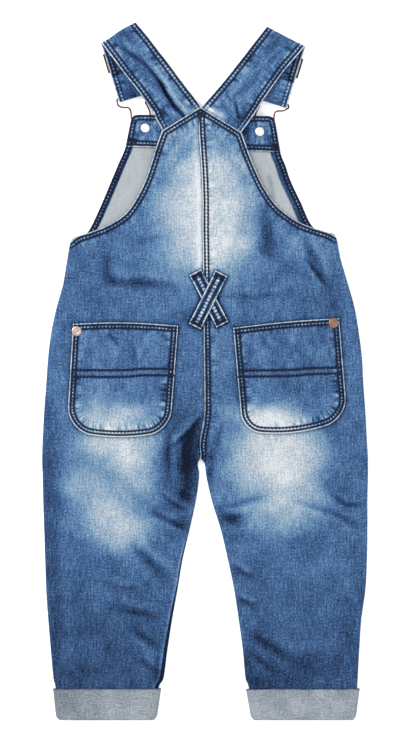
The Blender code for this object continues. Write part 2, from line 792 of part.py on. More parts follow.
def buckle(side):
    """A closed wire: a bar in the strap's loop, two shoulders, and a keyhole round the button."""
    path = StrapPath(side)
    sign = -1 if side == "left" else 1
    button = Vector(BUTTONS[side])
    outline = [strap_place(path, along, -aside) for along, aside in BUCKLE_BAR]
    outline += [button + Vector((sign * out, up)) for out, up in BUCKLE_KEYHOLE]
    outline += [strap_place(path, along, aside) for along, aside in reversed(BUCKLE_BAR)]
    wire(f"buckle_{side}", [Vector((p.x, p.y, BUCKLE_LEVEL)) for p in outline], True)


def turned(name, place, profile, material):
    """A round piece from its profile, which runs from the axis at the top to the axis below."""
    shape = bmesh.new()
    corners = [shape.verts.new(Vector((radius, 0, z)) * MM) for radius, z in profile]
    for upper, lower in zip(corners, corners[1:]):
        shape.edges.new((upper, lower))
    piece = finish_mesh(name, shape, material)
    piece.location = (Vector((*place, 0)) - OUTLINE_MIDDLE) * MM
    screw = piece.modifiers.new("turn", "SCREW")
    screw.steps = 20
    screw.render_steps = 20
    screw.use_merge_vertices = True
    screw.merge_threshold = 0.00001


def button(side):
    """The head and shank below the bib, and the cap that clamps it above the facing."""
    x, y = BUTTONS[side]
    under = bib_lift(x, y)
    head, shank, edge = BUTTON_HEAD_RADIUS, BUTTON_SHANK_RADIUS, 0.6
    top = BUTTON_HEAD_HEIGHT
    profile = ((0, under - SEAM_GAP), (shank, under - SEAM_GAP), (shank, top), (head - edge, top))
    profile += ((head, top - edge), (head, edge), (head - edge, 0), (0, 0))
    turned(f"button_{side}", (x, y), profile, COPPER)
    base = under + WALL + FACING_WALL + 2 * SEAM_GAP
    cap, height = BUTTON_BACK_RADIUS, BUTTON_BACK_HEIGHT
    profile = ((0, base + height), (cap - 1.6, base + height), (cap, base + 0.6), (cap, base))
    turned(f"button_back_{side}", (x, y), (*profile, (0, base)), PALE_METAL)


def rivet(side):
    x, y = RIVETS[side]
    base = back_level(x, y) + WALL + 2 * SEAM_GAP
    top = base + RIVET_HEIGHT
    profile = ((0, top), (RIVET_RADIUS - 0.8, top), (RIVET_RADIUS, base + 0.4))
    profile += ((RIVET_RADIUS, base), (0, base))
    turned(f"rivet_{side}", (x, y), profile, COPPER)


def clear_scene():
    for thing in list(bpy.data.objects):
        bpy.data.objects.remove(thing)


clear_scene()
GARMENT = bpy.data.collections.new("dungarees")
bpy.context.scene.collection.children.link(GARMENT)
bib_and_facing()
for tab_name in TABS:
    tab(tab_name)
for side_name in ("left", "right"):
    back_panel(side_name)
    front_leg(side_name)
    strap(side_name)
    pocket(side_name)
    turn_up(side_name)
    slider(side_name)
    buckle(side_name)
    button(side_name)
    rivet(side_name)
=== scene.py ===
"""The looks of a small child's denim dungarees, laid flat on their front with the back up.

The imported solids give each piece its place. Here every piece of cloth is made again as a fine sheet
on the same sections, with its creases and puckered seams, and dressed in stone-washed denim with
navy topstitching. The wire, buttons and rivets are made again with their fine form.

Tables are in millimetres, with x towards the wearer's right, y towards the shoulders and z up. Left
and right are the wearer's.
"""

import math

import bpy
import numpy as np
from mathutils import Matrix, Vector
from mathutils.bvhtree import BVHTree


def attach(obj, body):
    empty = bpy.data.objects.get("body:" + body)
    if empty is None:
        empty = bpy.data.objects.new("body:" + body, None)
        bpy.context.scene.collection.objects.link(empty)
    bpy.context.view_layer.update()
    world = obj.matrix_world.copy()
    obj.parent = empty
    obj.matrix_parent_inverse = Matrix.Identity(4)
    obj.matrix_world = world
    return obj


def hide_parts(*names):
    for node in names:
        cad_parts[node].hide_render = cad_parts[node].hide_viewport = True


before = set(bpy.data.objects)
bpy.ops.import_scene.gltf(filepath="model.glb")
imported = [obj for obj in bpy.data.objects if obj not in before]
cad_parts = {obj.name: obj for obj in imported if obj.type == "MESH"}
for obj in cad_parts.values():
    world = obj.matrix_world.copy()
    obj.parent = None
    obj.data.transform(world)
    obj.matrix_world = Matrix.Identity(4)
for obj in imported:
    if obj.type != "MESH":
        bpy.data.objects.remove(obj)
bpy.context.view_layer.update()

MM = 0.001
SIDES = ("left", "right")

# ---------------------------------------------------------------- sizes shared with the solids
WALL = 1.2  # one thickness of denim with its hem
STRAP_WALL = 2.0
TAB_WALL = 1.4
FACING_WALL = 1.1
SEAM_GAP = 0.3
ROLL = 0.2
OUTLINE_MIDDLE = np.array((0.5, -0.3, 0.0))  # the tables' place for the part's own origin

BACK_LEVEL = 5.4  # outer face of the back panels
BACK_SEAM_LEVEL = BACK_LEVEL / 2 + SEAM_GAP / 2 + ROLL
FRONT_SEAM_LEVEL = BACK_LEVEL / 2 - SEAM_GAP / 2 - ROLL
LOWEST_BACK = 2.7  # a trough stops here, clear of the front
SIDE_RUN = 3.0
SHOULDER_RISE = 3.2
SHOULDER_RISE_Y = (140.0, 205.0)
CUFF_RISE = WALL + SEAM_GAP
CUFF_RISE_Y = (-309.0, -298.0)
BIB_LIFT = 4.6
BIB_LIFT_RADII = (16.0, 52.0)
EDGE_CLEARANCE = 0.4  # between the armhole's edge and the bib under it
SOFT_WAVES = ((0.45, 46, 60, 1), (0.16, 17, 22, 2))  # height, size across and along, and seed
BUTTONS = {"left": (-58.0, 237.5), "right": (54.0, 234.0)}
WIRE_RADIUS = 0.8
BUCKLE_LEVEL = 3.3

# y and x of the centre seam
CENTRE = (
    (260, -3.6), (253, -5.4), (245, -6.2), (231, -5.5), (216, -4.4), (201.5, -3.5), (187, -2.7),
    (167, -2.1), (138, -2.2), (113.5, -1.8), (60, -1), (20.5, -0.6), (-18.5, -0.1), (-38, 0),
    (-52.8, -1.3), (-62.6, -3.6), (-72.5, -5), (-84, -3.9),
)
YOKE_POINT_Y = 258.0
CROTCH_Y = -84.0
# The armhole edge's x and y, the centre seam's y, and how wide the edge's slope is
YOKES = {
    "left": (
        (-41.5, 235, 258, 14), (-47.3, 219, 235.5, 16), (-53.1, 200.5, 211, 18),
        (-59.6, 183, 190.5, 20), (-69.6, 164.5, 170, 22), (-79.5, 152.4, 157.5, 22),
        (-95, 142.7, 146.5, 20), (-112, 135.9, 138.5, 14), (-124.5, 132, 132.5, 8),
        (-131, 126.5, 126.5, SIDE_RUN),
    ),
    "right": (
        (36, 233.5, 258, 14), (44.8, 209.5, 235.5, 16), (54.7, 187, 211, 18), (60.8, 176, 190.5, 20),
        (66.4, 167.5, 174, 22), (74.5, 158.6, 162, 22), (90, 147.2, 151, 20), (104, 141, 143, 14),
        (121, 135.6, 136.5, 8), (128.5, 131.5, 130.5, SIDE_RUN),
    ),
}
# y, the side seam's x, and below the crotch the inseam's x
LEGS = {
    "left": (
        (108.5, -134.5, None), (85, -138.5, None), (61.5, -145, None), (38, -150, None),
        (14.5, -153, None), (-12.5, -155, None), (-40, -157, None), (-67.5, -158.5, None),
        (-84, -159, None), (-91, -159, -6.7), (-102.5, -158.5, -5.3), (-126, -158, -8.3),
        (-155.5, -157, -14.7), (-185, -156, -21.6), (-214, -155, -26.5), (-243.5, -153, -31.8),
        (-273, -150.5, -36.3), (-300, -148, -40), (-308, -146, -44.4), (-322, -145, -46.4),
        (-335, -143.5, -48.4),
    ),
    "right": (
        (108.5, 133.5, None), (85, 140.5, None), (61.5, 147, None), (38, 151, None), (14.5, 154, None),
        (-12.5, 155.5, None), (-40, 157.5, None), (-67.5, 159, None), (-84, 160, None), (-91, 160, 0.3),
        (-102.5, 160, 1.7), (-126, 159.5, 6.9), (-155.5, 159.5, 16), (-185, 159, 23), (-214, 157.5, 29),
        (-243.5, 153.5, 33.5), (-273, 151.5, 37.5), (-300, 150, 40), (-308, 149.5, 43),
        (-322, 148.5, 44.5), (-335, 146, 47),
    ),
}
# The left edge's x and y, the right edge's, and 1 where the edges are sewn to the back
BIB = (
    (-66, 250.6, 63.6, 249.3, 0), (-70.2, 248.6, 67.3, 247.3, 0), (-72.2, 244, 69.2, 242.6, 0),
    (-77.2, 219.5, 74.2, 214, 0), (-84.3, 203, 79.5, 200.5, 0), (-91, 187, 84, 187, 0),
    (-101.7, 161.5, 94.5, 164.5, 0), (-112.7, 138.5, 105, 142.5, 0), (-122.5, 128, 120, 132.5, 0),
    (-131, 123.5, 128.5, 127, 1), (-134.5, 108.5, 133.5, 108.5, 1), (-138.5, 85, 140.5, 85, 1),
    (-142.8, 69.6, 144.8, 69.6, 1),
)
WAIST_Y = 69.6
FACING_ROWS = 3  # the facing reaches down to this row of the bib's table, counted from 0

STRAP_HALF = 20.4
STRAPS = {  # corners at the yoke and the fold, how far the fold's edges are pulled out, the drop to
    # the bar, the slider's sides from the fold, and each edge's distance from the axis along it
    "left": {
        "yoke_outer": (-41.7, 235.6),
        "yoke_inner": (-3.6, 259.0),
        "fold_outer": (-100.5, 320.0),
        "fold_inner": (-63.0, 338.5),
        "pull": (1.1, 4.3),
        "drop": 59.6,
        "slider": (14.0, 31.5),
        "edges": (
            (-100, 22, 21.6), (-90, 21, 21.4), (-81, 19, 21), (-60, 18.8, 20.6),
            (-25, 20, 19.6), (-4, 20.4, 18.4), (6, 20.4, 18.4), (18, 20.4, 20.4),
        ),
    },
    "right": {
        "yoke_outer": (35.9, 233.7),
        "yoke_inner": (-2.1, 256.9),
        "fold_outer": (97.2, 318.2),
        "fold_inner": (62.3, 336.2),
        "pull": (0.0, 0.0),
        "drop": 63.2,
        "slider": (16.5, 34.5),
        "edges": (
            (-100, 22.4, 22.6), (-86, 22.1, 21.8), (-75, 21.5, 21.2), (-63, 20.2, 20.8),
            (-42, 19.3, 20.6), (-30, 19, 20.6), (0, 20.4, 20.4), (18, 20.4, 20.4),
        ),
    },
}
PULL_REACH = (-60.0, -2.0, 11.0)  # where the pull begins, is whole, and how soon it ends
SHOULDER_LEVEL = BACK_LEVEL - WALL + SHOULDER_RISE
STRAP_TOP_MID = SHOULDER_LEVEL + STRAP_WALL / 2
STRAP_LOW_MID = STRAP_WALL / 2
STRAP_FOLD_RADIUS = (STRAP_TOP_MID - STRAP_LOW_MID) / 2
STRAP_TAIL = 22.0
LOOP_RADIUS = BUCKLE_LEVEL - STRAP_LOW_MID
SLIDER_RISE = 2 * WIRE_RADIUS + SEAM_GAP
SLIDER_SLOPES = (7.5, 1.2, 1.2, 9.0)  # how far the strap climbs and falls beside the slider
BUCKLE_BAR = (8.0, 16.0, 19.5)  # places across the strap that keep the bar straight
BUCKLE_CORNER = ((0.0, 21.0), (0.9, 22.0), (3.2, 22.3))
# The buckle's wire round the button, outwards and upwards from the button's middle
BUCKLE_KEYHOLE = (
    (26.6, 22.6), (24, 20.9), (20.5, 20.5), (17.2, 20.4), (15.2, 19), (14.1, 16), (13.7, 11.4), (12, 3),
    (8, -3.8), (1.5, -6.4), (-4, -3.6), (-6, 3.5), (-5.3, 11), (-4, 17.6), (-1.8, 22.3), (-0.3, 26),
    (-3.5, 28.6), (-9.5, 30.5), (-15, 33.8),
)

# Top left, top right, bottom left, bottom right, corner radius, and the bottom's and top's bow
POCKETS = {
    "left": ((-128.7, 46.1), (-25.7, 44.2), (-133.5, -58.8), (-31.9, -58.8), 23, 6, 2.3),
    "right": ((28, 42.2), (131.6, 51.6), (35.2, -58.8), (138.2, -47.5), 20, 7.3, 1.2),
}
RIVETS = {"left": (-125.0, 39.0), "right": (126.0, 47.0)}
TAB_WIDTH = 13.0
TABS = {"tab_under": ((-9.0, 96.5), (17.5, 45.5)), "tab_over": ((16.5, 95.5), (-9.5, 43.5))}
# Top y, bottom y, both sides' x at the top, and both sides' x at the bottom
CUFFS = {
    "left": (-311, -341.5, -148.3, -42.4, -145.5, -46.2),
    "right": (-311, -341.5, 40.5, 152, 45, 148.5),
}
CUFF_CORNER = 3.5
CUFF_HOOK = 4.5
CUFF_RUN = SIDE_RUN + CUFF_RISE
CUFF_LEVEL = BACK_LEVEL + 2 * CUFF_RISE

# The solids' folds: both ends, half the width, and the height
FOLDS = (
    (-97, 120, -90, 88, 10, -1), (-84, 90, -46, 85, 10, 1), (60, 140, 88, 106, 10, -1),
    (98, 132, 118, 92, 10, 1), (-8, -52, -19, -106, 8, -1.4), (-116, -88, -34, -152, 13, -1.1),
    (16, -134, 92, -122, 12, 1.1), (92, -124, 150, -154, 12, 1.1), (42, -256, 74, -270, 11, 0.9),
)

# ---------------------------------------------------------------- creases, fades and sewing
# A crease is a soft trough along a line, with a ridge beside it: half the trough's width, its
# depth, the ridge's height (below 0 where it is on the line's right), and the line's points.
CREASES = (
    (4.3, 1.9, 0.8, (
        (-95, 118), (-96.5, 105), (-94.5, 94), (-86, 87), (-65, 86), (-45, 85), (-22, 82),
    )),
    (4, 0.5, 0.3, ((-72, 127), (-48, 131), (-25, 135))),
    (7, 1.2, -0.5, ((54, 166), (60, 143), (60, 128), (64, 115), (74, 110), (87, 109))),
    (4, 1.6, 0.9, ((97, 135), (104, 117), (110, 106), (115, 92), (122, 80))),
    (2.2, 1.9, -0.7, ((100, 110), (104, 104), (112, 93), (120, 82))),
    (4, 0.7, 0.3, ((35, 100), (37, 83), (39, 67), (41, 55))),
    (3, 0.6, 0.3, ((12, 74), (44, 73), (91, 75))),
    (5, 2.2, -1.2, ((-4, -46), (-11, -59), (-18, -75), (-18, -97), (-14, -108))),
    (2.2, 2, -0.9, ((0, -42), (-8, -51), (-16, -60), (-26, -69), (-38, -78))),
    (3, 1.2, 0.5, ((-35, -57), (-36, -82), (-35, -108))),
    (2, 0.8, 0.3, ((-11, -79), (-9, -87), (-7, -97))),
    (3.5, 1.2, -0.6, ((-25, -118), (-18, -123), (-11, -128))),
    (9, 1.2, -1, ((-127, -72), (-110, -87), (-92, -102), (-73, -119), (-53, -136), (-31, -153))),
    (4.5, 2, 1, ((-75, -166), (-60, -180), (-46, -193), (-32, -207))),
    (3, 2, -0.8, ((-52, -137), (-34, -147), (-14, -156))),
    (2, 1.5, 0.8, ((-44, -118), (-32, -129), (-16, -137))),
    (4.2, 1.6, 0.8, ((-90, -229), (-66, -236), (-40, -240))),
    (3.6, 1.5, -0.7, ((-72, -252), (-56, -263), (-42, -275))),
    (3.2, 0.9, 0.5, ((-64, -281), (-54, -289), (-44, -296))),
    (3, 0.9, 0.5, ((-100, -205), (-82, -212), (-62, -213))),
    (2.5, 0.8, 0.4, ((-46, -274), (-46, -292), (-46, -311))),
    (5, 0.5, 0.3, ((-144, -126), (-146, -185), (-144, -243), (-140, -302))),
    (3.5, 1, 0.5, ((16, -53), (14, -67), (12, -81))),
    (2.5, 1.2, -0.5, ((3, -78), (8, -88), (6, -97), (4, -106))),
    (3, 1.2, -0.4, ((9, -134), (31, -131), (48, -126), (64, -123))),
    (3, 1.3, -0.5, ((88, -127), (113, -135), (134, -143), (154, -156))),
    (7, 1, -0.5, ((40, -130), (60, -122), (84, -124))),
    (2.2, 1.7, 0.5, ((122, -119), (132, -126), (141, -131), (159, -129))),
    (4, 1.1, 0.5, ((17, -141), (25, -144), (33, -145))),
    (5, 2.1, -0.9, ((44, -257), (60, -266), (76, -276), (98, -289))),
    (2.4, 1.6, 0.7, ((32, -222), (40, -226), (52, -230))),
    (3, 1.4, 0.7, ((28, -190), (37, -197), (50, -203))),
    (3, 0.9, -0.5, ((46, -276), (58, -286), (70, -296))),
    (6, 0.8, 0.4, ((140, -214), (141, -248), (139, -282))),
)
POCKET_CREASES = (
    (1.8, 1.1, -0.5, ((-95, 38), (-90, 32), (-84, 26))),
    (2, 1.2, -0.6, ((-45, 38), (-39, 33), (-32, 29))), (3, 0.9, 0.3, ((-71, 28), (-69, 18), (-69, 6))),
    (3, 0.4, 0.2, ((-81, -10), (-80, -20))), (2.5, 0.5, 0.3, ((43, 28), (50, 15))),
    (2.5, 0.5, 0.3, ((56, 30), (67, 21))), (2.5, 0.6, -0.4, ((87, 26), (98, 10))),
    (2.5, 0.5, -0.3, ((104, 35), (111, 20))),
)
STRAP_CREASES = (
    (2.5, 3.4, 1.4, (
        (-70, 313), (-58, 300), (-49, 290), (-42, 281), (-37, 270), (-31, 262), (-23, 253), (-14, 243),
        (-4, 231), (6, 219),
    )),
    (2.3, 2, 0.2, ((-50, 290), (-40, 276), (-31, 262), (-25, 254), (-12, 236), (0, 220))),
    (1.6, 0.9, 0.6, ((-42, 256), (-36, 251), (-30, 250))),
    (1.6, 0.9, -0.5, ((-35, 260), (-29, 255), (-26, 249))),
    (1.8, 0.8, 0.5, ((8, 266), (17, 263), (26, 256))),
    (3, 1.2, 0.7, ((-82, 320), (-74, 311), (-62, 303))),
    (3, 0.9, 0.6, ((-53, 309), (-44, 297), (-36, 285))), (3, 0.7, 0.4, ((-43, 253), (-33, 262))),
    (3, 0.8, 0.5, ((56, 298), (50, 286), (44, 275))),
    (2.5, 0.7, -0.5, ((64, 292), (56, 280), (50, 271))),
    (3, 0.8, 0.5, ((10, 259), (19, 257), (28, 247))),
    (1.9, 2, 1.2, ((28, 270), (31, 259), (33, 249), (36, 240))),
    (1.8, 1.3, 0.8, ((20, 275), (25, 265), (27, 256))),
    (2.5, 0.6, 0.4, ((37, 247), (33, 255), (31, 265))),
)

# Stone-washed fades and painted fold shade: the middle, both half widths, a turn in degrees, and how much
# paler
WASH_BASE = 0.355
FADE_DRIFT = 6.0  # how far the fades' edges wander
FADE_EDGE = 1.55  # 1 would be a bell, and more makes the middle flatter and the edge firmer
CRINKLE_TONE = 0.12
CRINKLE_Y = (160.0, 225.0)  # the shoulders' fine crinkles start and are whole
# entries below 0 are darker, and those along folds, as by the crotch, are painted shade
FADES_AND_SHADE = (
    (0, 160, 47, 68, 0, 0.54), (4, 110, 38, 20, 0, 0.14), (32, 132, 18, 20, 0, 0.1),
    (-22, 176, 16, 13, 0, -0.06), (-34, 226, 14, 15, 0, 0.12), (20, 208, 13, 13, 0, 0.08),
    (84, 123, 20, 18, 0, 0.09), (127, 118, 9, 20, 0, 0.08), (0, 236, 24, 20, 0, 0.05),
    (140, 112, 12, 40, 0, 0.07), (15, 15, 15, 60, 0, 0.06), (-88, -41, 42, 15, 0, 0.31),
    (-86.5, -72, 44, 24, 0, 0.46), (-68, -104, 24, 26, 0, 0.34), (-106, -120, 34, 24, -25, 0.28),
    (-90, -157, 34, 20, -20, 0.36), (-62, -148, 24, 20, 0, 0.1), (-156, -110, 13, 76, 0, -0.13),
    (-134, -108, 10, 30, 0, 0.07), (-32, 66, 16, 12, 0, 0.08), (0, -290, 220, 50, 0, -0.03),
    (154, -235, 9, 70, 0, -0.07), (128, -100, 14, 50, 0, -0.05), (-80, 15, 44, 22, 0, 0.04),
    (-102, -18, 15, 11, 0, 0.14), (-66, -34, 14, 12, 0, 0.12), (-120, 2, 9, 26, 0, 0.07),
    (-30, -70, 11, 42, 0, -0.08), (22, -142, 14, 10, 0, -0.16), (-14, -122, 9, 11, 0, -0.14),
    (4, -106, 8, 11, 0, -0.12), (-148, -232, 12, 80, 0, -0.06), (62, -46, 37, 15, 0, 0.36),
    (71, -88, 46, 43, 0, 0.56), (72, -141, 42, 18, 0, 0.22), (-15, -82, 11, 40, 0, -0.18),
    (-30, -84, 22, 44, 0, -0.08), (0, -240, 220, 60, 0, -0.035), (-100, -270, 90, 60, 0, -0.05),
    (-100, -304, 90, 20, 0, -0.06), (54, -288, 26, 32, 10, -0.11), (60, -305, 100, 24, 0, -0.08),
    (138, -284, 18, 40, 0, -0.06), (104, -296, 34, 18, 0, -0.07), (34, -142, 12, 10, 0, -0.15),
    (-20, -140, 12, 26, 0, -0.1), (-80, 88, 40, 9, 0, -0.05), (-17, 57, 16, 8, 0, -0.12),
    (-115, 60, 16, 20, 0, -0.06), (128, 100, 12, 56, 0, -0.09), (40, 2, 8, 26, 0, -0.05),
    (55, 146, 9, 20, 15, -0.13), (39, 155, 9, 14, 0, -0.06), (40, 124, 8, 9, 0, 0.05),
    (-14, 122, 9, 20, 0, -0.05), (93, 122, 9, 9, 0, 0.04), (-83, 122, 9, 9, 0, 0.05),
    (62, 128, 10, 14, 15, -0.12), (77, 128, 8, 14, 0, 0.05), (47, 16, 9, 10, 0, 0.1),
    (112, -40, 10, 12, 0, -0.03), (125, -18, 10, 9, 0, -0.08), (38, -38, 8, 10, 0, -0.1),
    (-48, -38, 9, 10, 0, -0.07), (-136, -104, 9, 10, 0, -0.08), (-32, -143, 8, 9, 0, 0.13),
    (-32, -159, 8, 9, 0, -0.08), (38, -142, 9, 8, 0, -0.1), (110, -123, 12, 10, 0, 0.09),
    (22, 88, 12, 9, 0, 0.06), (38, 52, 9, 16, 0, -0.05), (-50, 19, 9, 9, 0, 0.05),
    (57, 17, 8, 9, 0, -0.03),
)
CREASE_WEAR_AND_SHADE = 0.13  # how much paler each millimetre of ridge is from wear, and how much darker each trough is with painted shade
TOLD_WIDTH = 3.6  # a trough wider than this takes less tone
HANGING_PAINTED_SHADE = {"left": 0.14, "right": 0.05}  # painted shade: how much darker the strap is below its fold
PAINTED_EDGE_SHADOW = ((0.15, 1.9),)  # painted shadow: how much darker the back is beside what is sewn on, and how far away
TABS_PAINTED_SHADOW = ((0.16, 1.3), (0.10, 3.2))  # the same painted shadow again beside the tabs
STRAP_TONE = 0.39
FACING_TONE = 0.37
TAB_TONE = 0.38
CUFF_TONE = 0.57
HEM_TONE = 0.30  # the bib's side hems, which are turned right side out
BIB_TONE = 0.72
# a crease on the bib, drawn only as a line of painted shade
BIB_CREASE_SHADE = ((63.0, 190.0), (66.0, 178.0), (67.0, 170.0))

# Twin-needle topstitching
ROW_1 = 2.2  # from the edge to the first row
ROW_2 = 5.6
HEM_ROWS = (1.3, 4.7)  # the same on the bib
STITCH_PITCH = 3.5
STITCH_LENGTH = 3.4
STITCH_RADIUS = 1.0
STITCH_FLATNESS = 0.75
STITCH_SLANT = 7.0
STITCH_LIFT = 0.12  # a stitch's middle is this far above the cloth
LONGEST_STEP = 1.6  # stitches further apart than this many pitches cross a gap and are left out
BAR_TACK = {"pitch": 1.9, "length": 1.9, "slant": 25.0}
LOWEST_STITCH = 0.5  # stitches below this would press into the surface and don't show
BAND_THICKNESS = 0.35  # the turned hem under the rows
PUCKER = 0.3
FAR = 99.0  # away from every seam
# The two level rows across each pocket, as y at the left, the step's middle and right
MID_ROWS = {
    "left": ((0.8, 0.8, 2.2, 2), (-5.6, -5.8, -4.2, -4.4)),
    "right": ((0.4, 1, 2.6, 3.4), (-5.6, -5, -3.4, -2.2)),
}
MID_ROW_INSETS = {"left": (0.0, 4.0), "right": (4.5, 0.0)}  # how far they stop short of the sides
MID_ROW_PAST = 1.2  # and how far past the pocket's corners they would run otherwise
MID_ROW_STEP = (0.52, 0.68)  # where they step up, as shares of their length
# A tab is narrow, so its rows are closer: places from its edge, and the same on a seam's profile
TAB_SEAM = (
    (0, 0.7, 1.3, 2.7, 3.3, 3.95, 4.6, 5.2, 6.5), (0, 0.7, 1.2, 1.25, 1.6, 2.3, 3.1, 3.6, 3.95),
)
TAB_ROW = 2.55  # from the axis
TAB_ROW_END = 1.5
TAB_TACKS = (2.2, 3.0, 3.8)  # from the tab's end
TAB_TACK_HALF = 5.6
STRAP_ROWS = (  # the edge, 0 outer and 1 inner, how far inside it, and how far from the yoke
    (0, ROW_1 + 0.2, 6.5), (0, ROW_2 + 0.6, 6.5), (1, 1.5, 5.0), (1, ROW_2, 5.0),
)
TAIL_ROW = 20.0  # from the bar to the row that holds the sewn-back end
FACING_ENDS = {"left": 216.0, "right": 211.0}  # the facing's rows stop at these heights
HEM_ENDS = {"left": (120.0, 216.0), "right": (124.0, 212.0)}  # and the bib's hems run between these
FACING_TACKS = ((-1, 225.8), (1, 221.0))  # the side and the height of the highest of three bar-tacks
FACING_TACK_X = (66.0, 73.5)

# Grid spacing of the fine sheets
BACK_SPACING = 1.65
HIDDEN_SPACING = 3.2
EDGE_STOPS = (0.0, 0.05, 0.2, 0.5, 1.0, 1.7, 2.4, 3.2)
HEM_STOPS = (4.4, 5.6, 6.7, 7.8, 8.8, 9.8)
HEM_COLUMNS = {"left": 4, "right": 6}  # the left hem is 7.8 mm wide and the right one 9.8 mm
PANEL_WIDTH = 150.0
TURNED_STEPS = 48
TURNED_SPACING = 0.22
BIB_COLUMNS = 110
STRAP_COLUMNS = 44
STRAP_STEPS = (74, 22, 40, 12, 16)  # to the fold, round it, to the bar, round it, and back


# ---------------------------------------------------------------- shapes worked out with arrays
def smooth(low, high, value):
    """0 below low, 1 above high, and a smooth step between them."""
    share = np.clip((np.asarray(value, float) - low) / (high - low), 0.0, 1.0)
    return share * share * (3 - 2 * share)


def bell(distance, width):
    """1 at no distance, falling softly away."""
    return np.exp(-((distance / width) ** 2))


def through(rows, places):
    """The values at places from 0 to 1 along a table's rows, on a smooth curve through them."""
    rows = np.asarray(rows, float)
    step = np.asarray(places, float) * (len(rows) - 1)
    i = np.clip(step.astype(int), 0, len(rows) - 2)
    t = (step - i)[..., None]
    a, b = rows[np.maximum(i - 1, 0)], rows[i]
    c, d = rows[i + 1], rows[np.minimum(i + 2, len(rows) - 1)]
    bend = 2 * b + (c - a) * t + (2 * a - 5 * b + 4 * c - d) * t * t
    return (bend + (3 * b - a - 3 * c + d) * t**3) / 2


def spaced(line, spacing, measured=2):
    """A line of points set out again at even spacing, measured over its first columns."""
    line = np.asarray(line, float)
    steps = np.linalg.norm(np.diff(line[:, :measured], axis=0), axis=1)
    along = np.concatenate(([0.0], np.cumsum(steps)))
    wanted = np.linspace(0.0, along[-1], max(2, round(along[-1] / spacing) + 1))
    return np.stack([np.interp(wanted, along, column) for column in line.T], axis=-1)


def curve(points, spacing=1.5, measured=2):
    """Points at even spacing on a smooth line through a few."""
    return spaced(through(points, np.linspace(0, 1, 30 * len(points))), spacing, measured)


def centre_x(y):
    table = np.array(CENTRE)
    return np.interp(y, table[::-1, 0], table[::-1, 1])


def beside(x, y, line):
    """How far places are from a line, above 0 on its left, and how far along it."""
    shape = np.shape(x)
    nearest_yet = np.full(shape, np.inf)
    signed, along = np.zeros(shape), np.zeros(shape)
    run = 0.0
    for start, end in zip(line[:-1], line[1:]):
        step_x, step_y = end[0] - start[0], end[1] - start[1]
        length = math.hypot(step_x, step_y)
        share = ((x - start[0]) * step_x + (y - start[1]) * step_y) / length**2
        share = np.clip(share, 0.0, 1.0)
        off_x, off_y = x - start[0] - share * step_x, y - start[1] - share * step_y
        away = np.hypot(off_x, off_y)
        closer = away < nearest_yet
        nearest_yet = np.where(closer, away, nearest_yet)
        side = np.where(step_x * off_y - step_y * off_x >= 0, 1.0, -1.0)
        signed = np.where(closer, away * side, signed)
        along = np.where(closer, run + share * length, along)
        run += length
    return signed, along


def nearest(x, y, *lines):
    """How far places are from the nearest of some lines, and how far along that line."""
    away, along = np.full(np.shape(x), np.inf), np.zeros(np.shape(x))
    for line in lines:
        signed, line_along = beside(x, y, line)
        closer = np.abs(signed) < away
        away = np.where(closer, np.abs(signed), away)
        along = np.where(closer, line_along, along)
    return away, along


def uneven(u, v, seed):
    """Soft random hills between -1 and 1, one unit across, shifted off the part's own axes."""
    hills = np.random.default_rng(seed).uniform(-1, 1, (64, 64))
    u, v = np.asarray(u, float) + 13.7, np.asarray(v, float) + 29.3
    i, j = np.floor(u).astype(int), np.floor(v).astype(int)
    s, t = smooth(0, 1, u - i), smooth(0, 1, v - j)
    low = hills[i % 64, j % 64] * (1 - s) + hills[(i + 1) % 64, j % 64] * s
    high = hills[i % 64, (j + 1) % 64] * (1 - s) + hills[(i + 1) % 64, (j + 1) % 64] * s
    return low * (1 - t) + high * t


def creased(x, y, table, toned=False):
    """How far the creases of a table lower or raise the cloth, or how much they tell in its tone as painted
    shade in their troughs and paler worn ridges.

    Each fades in and out along its length and wanders in depth, and its ridge is 1.7 widths away.
    """
    total = np.zeros(np.shape(x))
    for width, depth, ridge, points in table:
        line = curve(points, 5.0)
        reach = 4 * width
        low, high = line.min(axis=0) - reach, line.max(axis=0) + reach
        near = (x > low[0]) & (x < high[0]) & (y > low[1]) & (y < high[1])
        if not near.any():
            continue
        away, along = beside(x[near], y[near], line)
        length = np.linalg.norm(np.diff(line, axis=0), axis=1).sum()
        begun = smooth(-0.1 * length, 0.3 * length, along)
        ended = smooth(0.6 * length, 1.1 * length, along)
        wander = 1 + 0.25 * uneven(along / 11, away / 20, 5)
        shift = math.copysign(1.7 * width, ridge)
        shape = abs(ridge) * bell(away - shift, 1.2 * width) - depth * bell(away, width)
        told = min(1.0, TOLD_WIDTH / width) if toned else 1.0
        total[near] += shape * (begun * (1 - ended)) * wander * told
    return total


def folds(x, y):
    total = np.zeros(np.shape(x))
    for x0, y0, x1, y1, width, height in FOLDS:
        away, _ = beside(x, y, ((x0, y0), (x1, y1)))
        total += height * bell(away, width)
    return total


def cuff_rise(y):
    return CUFF_RISE * (1 - smooth(*CUFF_RISE_Y, y))


def front_level(x, y):
    """The front's outer face, flat on the floor but for where it rises into the turn-up."""
    return cuff_rise(y)


def back_level(x, y):
    """The outer face of the back, away from its edges, with its creases."""
    x, y = np.asarray(x, float), np.asarray(y, float)
    drape = folds(x, y) + creased(x, y, CREASES)
    drape += sum(height * uneven(x / wide, y / long, seed) for height, wide, long, seed in SOFT_WAVES)
    level = BACK_LEVEL + drape
    level = (level + LOWEST_BACK + np.hypot(level - LOWEST_BACK, 0.5)) / 2
    return level + SHOULDER_RISE * smooth(*SHOULDER_RISE_Y, y) + cuff_rise(y)


def bib_lift(x, y):
    away = np.minimum(*(np.hypot(x - bx, y - by) for bx, by in BUTTONS.values()))
    return BIB_LIFT * (1 - smooth(*BIB_LIFT_RADII, away))


def facing_bottom(x):
    left_x, left_y, right_x, right_y, _ = BIB[FACING_ROWS]
    return left_y + (right_y - left_y) * (x - left_x) / (right_x - left_x)


